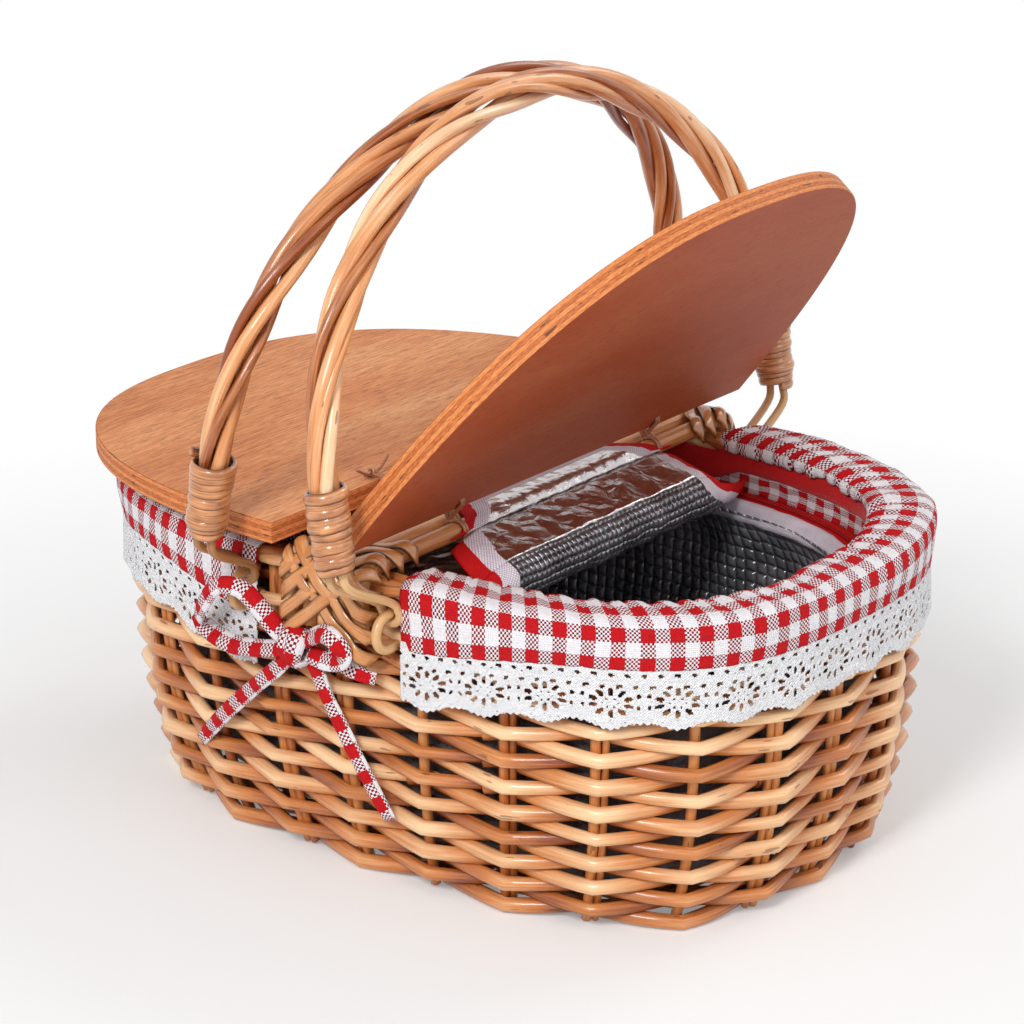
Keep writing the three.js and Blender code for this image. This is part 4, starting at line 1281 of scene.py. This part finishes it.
slider_bm = bmesh.new()
for size, place in ((slider_size, (0, 0, 0)), (pull_size, (pull_start + pull_size[0] / 2, 0, 0.6))):
    block = bmesh.ops.create_cube(slider_bm, size=1)["verts"]
    bmesh.ops.scale(slider_bm, verts=block, vec=size)
    bmesh.ops.translate(slider_bm, verts=block, vec=place)
for vert in slider_bm.verts:
    if vert.co.x < -slider_size[0] / 2 + 0.1:
        vert.co.y *= 0.6
bmesh.ops.bevel(slider_bm, geom=slider_bm.edges, offset=0.45, offset_type="OFFSET", segments=2, profile=0.5,
                affect="EDGES", material=-1, clamp_overlap=True)
bridge = bmesh.ops.create_cone(slider_bm, cap_ends=True, segments=16,
                               radius1=bridge_radius, radius2=bridge_radius, depth=3)["verts"]
bmesh.ops.rotate(slider_bm, verts=bridge, matrix=Matrix.Rotation(math.pi / 2, 3, "X"))
bmesh.ops.translate(slider_bm, verts=bridge, vec=(pull_start, 0, 1.2))
for face in slider_bm.faces:
    face.smooth = True
slider_x, slider_y = oval(zip_track, slider_angle)
ahead = oval(zip_track, slider_angle + 0.02)
heading = math.atan2(ahead[1] - slider_y, ahead[0] - slider_x)
slider_place = Matrix.Translation((slider_x * mm, slider_y * mm, (zip_height + 2.5) * mm))
slider_mesh = as_mesh(slider_bm)
slider_mesh.transform(Matrix.Diagonal((mm, mm, mm, 1)))
slider_mesh.transform(slider_place @ Matrix.Rotation(heading, 4, "Z"))
zip_metal, zip_metal_finish = new_finish("zip_metal", Metallic=1)
zip_spot = zip_metal_finish.node("ShaderNodeTexCoord", {}, {}, "Object")
zip_wear = zip_metal_finish.noise(zip_spot, 700, 3)
zip_metal_finish.put(zip_metal_finish.shader, {
    "Base Color": zip_metal_finish.mix(zip_wear, paint(150, 146, 140), paint(206, 204, 200)),
    "Roughness": 0.22 + zip_wear * 0.2,
})
add_piece("zip_slider_body", slider_mesh, [zip_metal], "basket", ["zip_slider"])


# Padded cover
# The bag's lid is foam between crinkled aluminium films. Its left part lies over the mouth.
# The rest is folded back on it, with the fold towards the open side. Its edges are bound in twill and tape.
cover_fold = (49, 133.7)
cover_turn_radius = 8.2
cover_seam = 0.8
cover_rise = math.radians(12)
cover_panel_reach = 26.3
cover_end_reach = 24.5
cover_tuck = math.radians(19.4)
cover_thickness = 3
cover_inset = 18.8
cover_left_end = -158.5
cover_middle = 125.5
edge_tape_width = 7.6
edge_twill_width = 9.4


def cover_half(x):
    """Half width of the bag's mouth, which the cover's left part fills, at a place along the basket."""
    length, width = side_half_length - cover_inset, side_half_width - cover_inset
    return width * max(1 - (abs(x) / length) ** 3, 0) ** (1 / 3)


def foil_finish():
    """Crinkled aluminium film over foam, bright and sharp like a mirror."""
    material, finish = new_finish("crinkled_foil", Metallic=1)
    spot = finish.node("ShaderNodeUVMap", {}, {})
    crumple = finish.node("ShaderNodeTexVoronoi", {"feature": "DISTANCE_TO_EDGE"}, {
        "Vector": spot, "Scale": 110, "Randomness": 1,
    }, "Distance")
    fine = finish.noise(spot, 700, 4)
    cloud = finish.noise(spot, 60, 3)
    finish.put(finish.shader, {
        "Base Color": finish.mix(cloud, paint(178, 172, 172), paint(222, 220, 222)),
        "Roughness": 0.13 + cloud * 0.16,
        "Normal": finish.bump(crumple * 2 + fine * 0.3 + cloud * 1.5, 0.0012, 0.55),
    })
    return material


def walk_of(mesh, face):
    """How far along its strip a face is, from the mean of its corners in the pattern."""
    return sum(mesh.uv_layers[0].data[i].uv[0] for i in face.loop_indices) / face.loop_total / mm


def panel(path, reaches, length, crinkle, droop=1):
    """A padded strip with bound edges.

    path(s) gives (x, z) and the way out of the fold, and reaches(s) how far it goes near and far.
    """

    def shape(u, v):
        s = u * length
        (x, z), (out_x, out_z) = path(s)
        near, far = reaches(s)
        y = v * (near + far) - near
        edge = min(y + near, far - y)
        puff = crinkle * waver(s * 0.11, y * 0.11, 3) * min(edge / 10, 1)
        puff += 0.3 * crinkle * waver(s * 0.4, y * 0.4, 7)
        sink = -droop * max(0, 1 - edge / 18) ** 1.6
        return (x + out_x * (puff + sink), y, z + out_z * (puff + sink)), (s, y)

    mesh = cloth(max(int(length / 1.6), 8), 132, shape)
    for face in mesh.polygons:
        y = face.center.y / mm
        near, far = reaches(walk_of(mesh, face))
        edge = min(y + near, far - y)
        bound = edge < edge_tape_width + edge_twill_width
        face.material_index = 2 if edge < edge_tape_width else 1 if bound else 0
    return mesh


cover_finishes = [foil_finish(), lilac_twill, red_tape]
rolled_film = embossed_film_finish("rolled_film", 3.4, 3.2, (88, 88, 94), (150, 150, 156))


def base_path(s):
    return (cover_fold[0] - cover_seam - s, cover_middle), (0, 1)


def fold_path(s):
    turn = -math.pi / 2 + (s - cover_seam) / cover_turn_radius
    out = (math.cos(turn), math.sin(turn))
    return (cover_fold[0] + cover_turn_radius * out[0], cover_fold[1] + cover_turn_radius * out[1]), out


fold_length = cover_turn_radius * (math.pi - cover_rise)


def inner_path(s):
    (x, z), out = fold_path(fold_length + cover_seam)
    beyond = s + cover_seam
    return (x - beyond * math.cos(cover_rise), z + beyond * math.sin(cover_rise)), out


def base_reaches(s):
    half = cover_half(cover_fold[0] - cover_seam - s)
    return half, half


base_mesh = panel(base_path, base_reaches, cover_fold[0] - cover_seam - cover_left_end, 0.8)
cover_base = add_piece("cover_base_foil", base_mesh, cover_finishes, "basket", ["cover_base"])
thicken(cover_base, cover_thickness)

fold_reaches = (89, 80)
flap_reaches = (77, 82)
flap_droop = 5.4
flap_back_reaches = (54, 56)
end_panel_inset = 17
end_panel_taper = 9


def turning_reaches(s):
    """The fold is as wide as the base where it starts, and as narrow as the flap where it ends."""
    first = cover_half(cover_fold[0])
    share = smooth(s / fold_length, 0, 0.8)
    return [first + (last - first) * share for last in fold_reaches]


def inner_reaches(s):
    """The flap's ends are cut round, more so on the near side."""
    share = min(max((s + cover_seam) / cover_panel_reach, 0), 1)
    near = fold_reaches[0] + (flap_reaches[0] - fold_reaches[0]) * share ** 1.3
    return near, fold_reaches[1] + (flap_reaches[1] - fold_reaches[1]) * share


def outer_reaches(s):
    """The last panel is narrower than the flap, and more so towards its end."""
    narrower = end_panel_inset + end_panel_taper * s / cover_end_reach
    return flap_reaches[0] - narrower, flap_reaches[1] - narrower


fold_mesh = panel(fold_path, turning_reaches, fold_length + 2 * cover_seam, 1.0, flap_droop)
cover_turn = add_piece("cover_fold_foil", fold_mesh, [rolled_film, lilac_twill, red_tape], None)
thicken(cover_turn, cover_thickness)
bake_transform(cover_turn)

inner_mesh = panel(inner_path, inner_reaches, cover_panel_reach - cover_seam, 1.2, flap_droop)
cover_inner = add_piece("cover_inner_foil", inner_mesh, cover_finishes,
                        "cover_inner", ["cover_inner_panel"])
thicken(cover_inner, cover_thickness)

cover_outer_start = (27.54, 143.03)


def outer_path(s):
    out = (math.sin(cover_tuck), math.cos(cover_tuck))
    beyond = s + cover_seam
    return (cover_outer_start[0] + beyond * out[1], cover_outer_start[1] - beyond * out[0]), out


outer_mesh = panel(outer_path, outer_reaches, cover_end_reach - cover_seam, 0.3)
cover_outer = add_piece("cover_outer_foil", outer_mesh, cover_finishes,
                        "cover_outer", ["cover_outer_panel"])
thicken(cover_outer, cover_thickness)


# Loose edge of the flap
# The folded flap's loose edge lies thin and flat over the bar's nearest rods.
# It is the same film, cut round at its corners and bound in lilac twill.
flap_edge_line = [(24.5, 148.4), (22, 151.6), (19.5, 153), (15, 153.1), (7, 153)]
flap_binding = 6
flap_steps = 40
flap_route, flap_edge_length = smooth_line(flap_edge_line, flap_steps)


def flap_edge_path(s):
    i = min(max(round(s / flap_edge_length * flap_steps), 0), flap_steps)
    before, after = flap_route[max(i - 1, 0)], flap_route[min(i + 1, flap_steps)]
    along = Vector((after[0] - before[0], after[1] - before[1])).normalized()
    return flap_route[i], (along.y, -along.x)


def flap_edge_reaches(s):
    share = min(max(s / flap_edge_length, 0), 1)
    return [first + (last - first) * share ** 0.45 for first, last in zip(flap_reaches, flap_back_reaches)]


edge_mesh = panel(flap_edge_path, flap_edge_reaches, flap_edge_length, 0.1)
for face in edge_mesh.polygons:
    if walk_of(edge_mesh, face) > flap_edge_length - flap_binding and face.material_index == 0:
        face.material_index = 1
flap_edge = add_piece("flap_edge_foil", edge_mesh, cover_finishes, "cover_inner")
thicken(flap_edge, 0.9)
round(flap_edge_length * mm, 4)
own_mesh(flap_edge)


# Cuffs
# Each end of the rim has a cuff of thin gingham. Elastic in its inner edge pulls it into small gathers.
# It puffs out over the border, and its hem carries the lace.
cuff_open = {"right": (36.5, 42), "left": (-42, -56)}
cuff_section = [
    (3.2, 126.2), (3.7, 129.5), (4.3, 134), (4.6, 139.5), (4, 143.4), (1.4, 146.3), (-2.5, 147.3), (-7, 147.4),
    (-11.5, 147.2), (-15.5, 146.6), (-18.9, 145), (-20.8, 142.8), (-20.6, 140.8), (-19.5, 139.8),
]
cuff_far_rise = 4.4
cuff_end_fall = {"right": 9.5, "left": 14}
cuff_end_length = 80
cuff_fullness = 1.12
cuff_steps = 44
cuff_column = 1.35
gather_pitch = 11


def end_share(x, side):
    """Share of the way round the basket where a cuff ends, at a place along it."""
    return share_at(math.atan2(side * side_face(x, side_height), x))


right_start, right_end = end_share(cuff_open["right"][0], -1), end_share(cuff_open["right"][1], 1)
left_start, left_end = end_share(cuff_open["left"][1], 1), end_share(cuff_open["left"][0], -1)
if right_start > 0:
    right_start -= 1
if left_end < left_start:
    left_end += 1
arcs = {"right": (right_start, right_end), "left": (left_start, left_end)}
cuff_line, cuff_width = smooth_line(cuff_section, cuff_steps)


def cuff_shape(start, end, fall):
    """Cuff shape from one share of the way round to another. u runs along the rim and v from hem to elastic."""
    length = (end - start) * oval_round

    def shape(u, v):
        share = start + (end - start) * u
        walk = u * length
        from_end = min(walk, length - walk)
        i = round(v * cuff_steps)
        offset, z = cuff_line[i]
        before, after = cuff_line[max(i - 1, 0)], cuff_line[min(i + 1, cuff_steps)]
        out = Vector((after[1] - before[1], before[0] - after[0])).normalized()
        beat = walk / gather_pitch + 1.6 * waver(walk * 0.03, start, 1) + 0.35 * v * math.sin(walk * 0.05)
        gather = 1 - 2 * abs(math.sin(math.pi * beat)) ** 0.7
        crease = 1 - 2 * abs(math.sin(math.pi * (beat * 2.3 + 3 * v))) ** 0.8
        inner = smooth(v, 0.3, 0.95)
        hem = 1 - smooth(v, 0, 0.3)
        swell = 2 * waver(walk * 0.03, v * 1.8, start * 5)
        swell += 0.8 * waver(walk * 0.1, v * 4, start * 5 + 2) * (0.5 + inner)
        lift = -gather * (1.2 * inner + 0.25 * hem) - crease * 0.35 * (0.4 + inner) + swell * (1 - hem)
        lift -= 1.6 * max(0, 1 - from_end / 7) ** 2
        lift = min(max(lift, -1.8), 1.6)
        x, y = oval(offset + out.x * lift, angle_at(share))
        z += out.y * lift + cuff_far_rise * smooth(y, -10, 100) * smooth(z, 130, 144)
        z -= fall * (1 - smooth(from_end, -10, cuff_end_length)) * (1 - smooth(v, 0, 0.4))
        return (x, y, z), (walk * cuff_fullness + 0.5 * swell, v * cuff_width)

    return shape, length


for name, (start, end) in arcs.items():
    shape, length = cuff_shape(start, end, cuff_end_fall[name])
    mesh = cloth(int(length / cuff_column), cuff_steps, shape)
    cuff = add_piece(f"gingham_cuff_{name}", mesh, [gingham], "basket", [f"cuff_{name}"])
    thicken(cuff, 0.4)
    round(cuff_width * mm, 3)
    round(length * cuff_fullness * mm, 2)


# Lace
# White crochet cotton, worked in rounds of ten petals with two rows of eyelets above and a scalloped edge.
# It is sewn under the cuff's hem and hangs down over the top of the weave.
lace_repeat = 26
lace_height = 29.5
lace_top = 129
lace_cell = 0.62
lace_thickness = 0.6
flower_place = (13, 12.4)
flower_reach = (7.3, 4.9)
heart_reach = (3, 2.1)
petal_count = 10
heart_count = 6
petal_hole = (1.9, 1.05)
heart_hole = (0.7, 0.45)
eyelet = (1.35, 0.85)
pin_hole = (0.6, 0.45)
eyelet_pitch = 6.5
edge_holes = 9
lace_holes = []
for petal in range(petal_count):
    turn = 2 * math.pi * (petal + 0.5) / petal_count
    out = (flower_reach[0] * math.cos(turn), flower_reach[1] * math.sin(turn))
    lace_holes.append((flower_place[0] + out[0], flower_place[1] + out[1], *petal_hole,
                       math.atan2(out[1], out[0])))
for petal in range(heart_count):
    turn = 2 * math.pi * petal / heart_count
    out = (heart_reach[0] * math.cos(turn), heart_reach[1] * math.sin(turn))
    lace_holes.append((flower_place[0] + out[0], flower_place[1] + out[1], *heart_hole, turn))
for x in (-2, 2):
    lace_holes.append((x, 15.2, 1.2, 0.8, math.radians(60 if x > 0 else 120)))
    lace_holes.append((x * 1.1, 10.4, 1.1, 0.7, math.radians(120 if x > 0 else 60)))
    lace_holes.append((x * 0.9, 6.6, 0.7, 0.5, 0))
for i in range(4):
    lace_holes.append(((i + 0.5) * eyelet_pitch, 19.3, *eyelet, math.radians(15)))
    lace_holes.append((i * eyelet_pitch, 24.3, *eyelet, math.radians(-15)))
    lace_holes.append(((i + 0.5) * eyelet_pitch, 23, *pin_hole, 0))
    lace_holes.append((i * eyelet_pitch, 20.4, *pin_hole, 0))
for i in range(edge_holes):
    rise = 3.6 + 0.9 * math.cos(2 * math.pi * ((i + 0.5) / edge_holes - 0.5))
    lace_holes.append(((i + 0.5) * lace_repeat / edge_holes, rise, *pin_hole, 0))


def hole_reach(x, y):
    """How far a place in the lace is from the nearest hole's edge, below 0 inside it, and the way out."""
    best, way = 9, (0, 0)
    for hole_x, hole_y, long_half, short_half, turn in lace_holes:
        dx = (x - hole_x + lace_repeat / 2) % lace_repeat - lace_repeat / 2
        dy = y - hole_y
        if dx * dx + dy * dy > 9:
            continue
        c, s = math.cos(turn), math.sin(turn)
        a, b = (dx * c + dy * s) / long_half, (dy * c - dx * s) / short_half
        level = math.hypot(a, b)
        if level < 1e-6:
            return -short_half, (0, 0)
        along, beside = a / long_half, b / short_half
        reach = (level - 1) / (math.hypot(along, beside) / level)
        if reach < best:
            best, way = reach, Vector((along * c - beside * s, along * s + beside * c)).normalized()
    return best, way


def lace_edge(x):
    """Height of the scalloped lower edge."""
    scallop = 3.2 * abs(math.cos(math.pi * x / lace_repeat)) ** 1.5
    return 0.5 + scallop + 0.45 * math.cos(2 * math.pi * x / (lace_repeat / edge_holes))


def lace_mesh(start, end, fall):
    """Openwork lace from one share of the way round to another, with its length and the area of its cotton."""
    length = (end - start) * oval_round
    repeats = round(length / lace_repeat)
    drawn = repeats * lace_repeat
    columns = int(drawn / lace_cell)
    rows = int(lace_height / lace_cell)
    bm = bmesh.new()
    bmesh.ops.create_grid(bm, x_segments=columns, y_segments=rows, size=0.5)
    pattern = bm.loops.layers.uv.new("UVMap")
    height = {}
    for vert in bm.verts:
        x, y = (vert.co.x + 0.5) * repeats * lace_repeat, (vert.co.y + 0.5) * lace_height
        low = lace_edge(x % lace_repeat)
        if y < 6:
            y = low + (y / 6) * (6 - low)
        reach, way = hole_reach(x % lace_repeat, y)
        if abs(reach) < 0.36 * lace_cell:
            x, y = x - way[0] * reach, y - way[1] * reach
            reach = 0
        vert.co = (x, y, 0)
        height[vert] = reach
    in_holes = [face for face in bm.faces if sum(height[vert] for vert in face.verts) < -0.02]
    bmesh.ops.delete(bm, geom=in_holes, context="FACES")
    cloth_area = sum(face.calc_area() for face in bm.faces)
    for face in bm.faces:
        face.smooth = True
        for loop in face.loops:
            loop[pattern].uv = (loop.vert.co.x * mm, loop.vert.co.y * mm)
    for vert in bm.verts:
        x, y = vert.co.x, vert.co.y
        share = start + (end - start) * x / drawn
        cord = 0.45 * math.exp(-((height[vert] - 0.35) / 0.45) ** 2)
        from_end = min(x, drawn - x)
        loose = 1 - y / lace_height
        wave = (0.9 * math.cos(2 * math.pi * (x / 41 + start)) + 1.2 * waver(x * 0.03, start, 0)) * loose
        z = lace_top - lace_height + y - fall * (1 - smooth(from_end, -10, cuff_end_length))
        z += 0.5 * waver(x * 0.15, y * 0.1, start)
        px, py = oval(2.9 + cord + 0.8 * wave + 0.2 * loose, angle_at(share))
        vert.co = Vector((px, py, z)) * mm
    return as_mesh(bm), length, cloth_area * mm * mm


def lace_finish():
    """White cotton with fine slanting stitches and a little fluff."""
    material, finish = new_finish("lace_cotton", Specular_IOR_Level=0.2)
    spot = finish.node("ShaderNodeUVMap", {}, {})
    bent = spot.part(1) + finish.noise(spot, 130, 2) * 0.004
    slant = abs((((spot.part(0) + bent) * 800) % 1) - 0.5) * 2
    other = abs((((spot.part(0) - bent) * 800) % 1) - 0.5) * 2
    fluff = finish.noise(spot, 900, 3)
    stitch = slant * other
    finish.put(finish.shader, {
        "Base Color": finish.ramp(
            stitch + fluff * 0.8, (0.2, paint(186, 186, 200)), (0.6, paint(253, 253, 254)),
        ),
        "Roughness": 0.8 + fluff * 0.1,
        "Normal": finish.bump(stitch + fluff, 0.0007, 0.8),
    })
    return material


lace_cotton = lace_finish()
for name, (start, end) in arcs.items():
    mesh, length, area = lace_mesh(start, end, cuff_end_fall[name] - 1)
    lace = add_piece(f"crochet_lace_{name}", mesh, [lace_cotton], "basket", [f"lace_{name}"])
    thicken(lace, lace_thickness)
    round(length * mm, 3)


# Bows
# The cuffs' gingham ends are drawn together over the bar's ends and tied in a bow.
# Each tie is a sewn tube, pressed flat, with loops that stand off the weave and tails that lie on it.
bow_width = 8.4
bow_puff = 2.1
bow_steps = 46
tail_width = 7.4
tail_puff = 1.5
big_loop = [
    (-14, 9.5, 10), (-22, 12, 5.5), (-31, 16, -6), (-38, 18.5, -12), (-46, 21, -12.5), (-53, 20.5, -8),
    (-60, 19, 0), (-67, 15, 8), (-70, 11.5, 13), (-65, 9.5, 18), (-50, 10, 19.5), (-32, 9.5, 16.5),
    (-14, 9, 11.5),
]
small_loop = [
    (-12, 9.5, 9), (-3, 12, 3), (5, 15, -1), (12, 17, -1.5), (16.5, 15.5, 4), (14, 12.5, 10), (5, 11, 13),
    (-10, 9.5, 12.5),
]
left_tail = [
    (-14, 8.8, 11), (-20, 8, 17), (-29, 7, 26), (-40, 6, 35.5), (-62, 4.2, 55), (-80, 2.6, 72), (-88, 2.4, 80),
]
right_tail = [(-11, 8.8, 12), (-5, 7.4, 21), (-1, 6.6, 31), (10, 4.6, 53), (18, 3, 70), (26, 2.6, 85)]
stub = [(4, 11, 8.5), (12, 8.5, 14), (20, 6, 17), (25, 4.6, 18)]
knot_place = (-12.5, 9.5, 10.5)


def bow_place(point, side):
    """A place beside the woven side: along the basket, out from its face, and down from the bar's ends."""
    x, out, drop = point
    height = bar_end_height - drop
    return Vector((x, side * (side_face(x, height) + out), height))


def bow_tube(points, side, flat_toward, wide=bow_width, puff=bow_puff):
    """A flattened tube along points. flat_toward(place) is the way that its flat side faces."""
    line, length = smooth_line([tuple(bow_place(point, side)) for point in points], bow_steps)
    phase = chance.uniform(0, 20)

    def shape(u, v):
        i = round(u * bow_steps)
        place = Vector(line[i])
        along = (Vector(line[min(i + 1, bow_steps)]) - Vector(line[max(i - 1, 0)])).normalized()
        flat = Vector(flat_toward(place))
        across = along.cross(flat).normalized()
        up = across.cross(along).normalized()
        c, s = math.cos(2 * math.pi * v), math.sin(2 * math.pi * v)
        ending = min(u, 1 - u) * length
        squeeze = smooth(ending, 0, 5)
        width = wide / 2 * (0.82 + 0.1 * waver(u * 5, phase, 1) + 0.18 * smooth(ending, 0, 14))
        ridge = 0.6 * waver(u * length * 0.16, phase, c * 1.6)
        height = (puff + ridge) * squeeze * s * abs(c * 0.35 + 1) + 0.02 * s
        pattern = (u * length + phase * check_size, v * 2.2 * wide)
        return place + across * (width * c) + up * height, pattern

    return cloth(bow_steps, 20, shape, True), length


for where, side in near_and_far:
    middle = bow_place(knot_place, side)
    made = [bow_tube(points, side, lambda place: (0.25, side, 0.75)) for points in (big_loop, small_loop)]
    made += [bow_tube(points, side, lambda place: (0.1, side, 0.1), tail_width, tail_puff)
             for points in (left_tail, right_tail, stub)]
    for lean in (-2.6, 2.8):
        x, out, drop = knot_place
        wrap = [(x + lean * math.cos(turn + 0.6), out + 1.5 + 5.4 * math.cos(turn), drop + 6.8 * math.sin(turn))
                for turn in np.linspace(0.4, 2 * math.pi + 1.2, 15)]
        made.append(bow_tube(wrap, side, lambda place: place - middle + Vector((0.01, 0, 0)), 9, 2.4))
    tubes, lengths = zip(*made)
    bow = add_piece(f"bow_{where}_gingham", joined(tubes), [gingham], "basket", [f"bow_{where}"])
    round(sum(lengths) * mm, 3)


size = {"cad": cad_box, "visual": [list(corner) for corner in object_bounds()]}
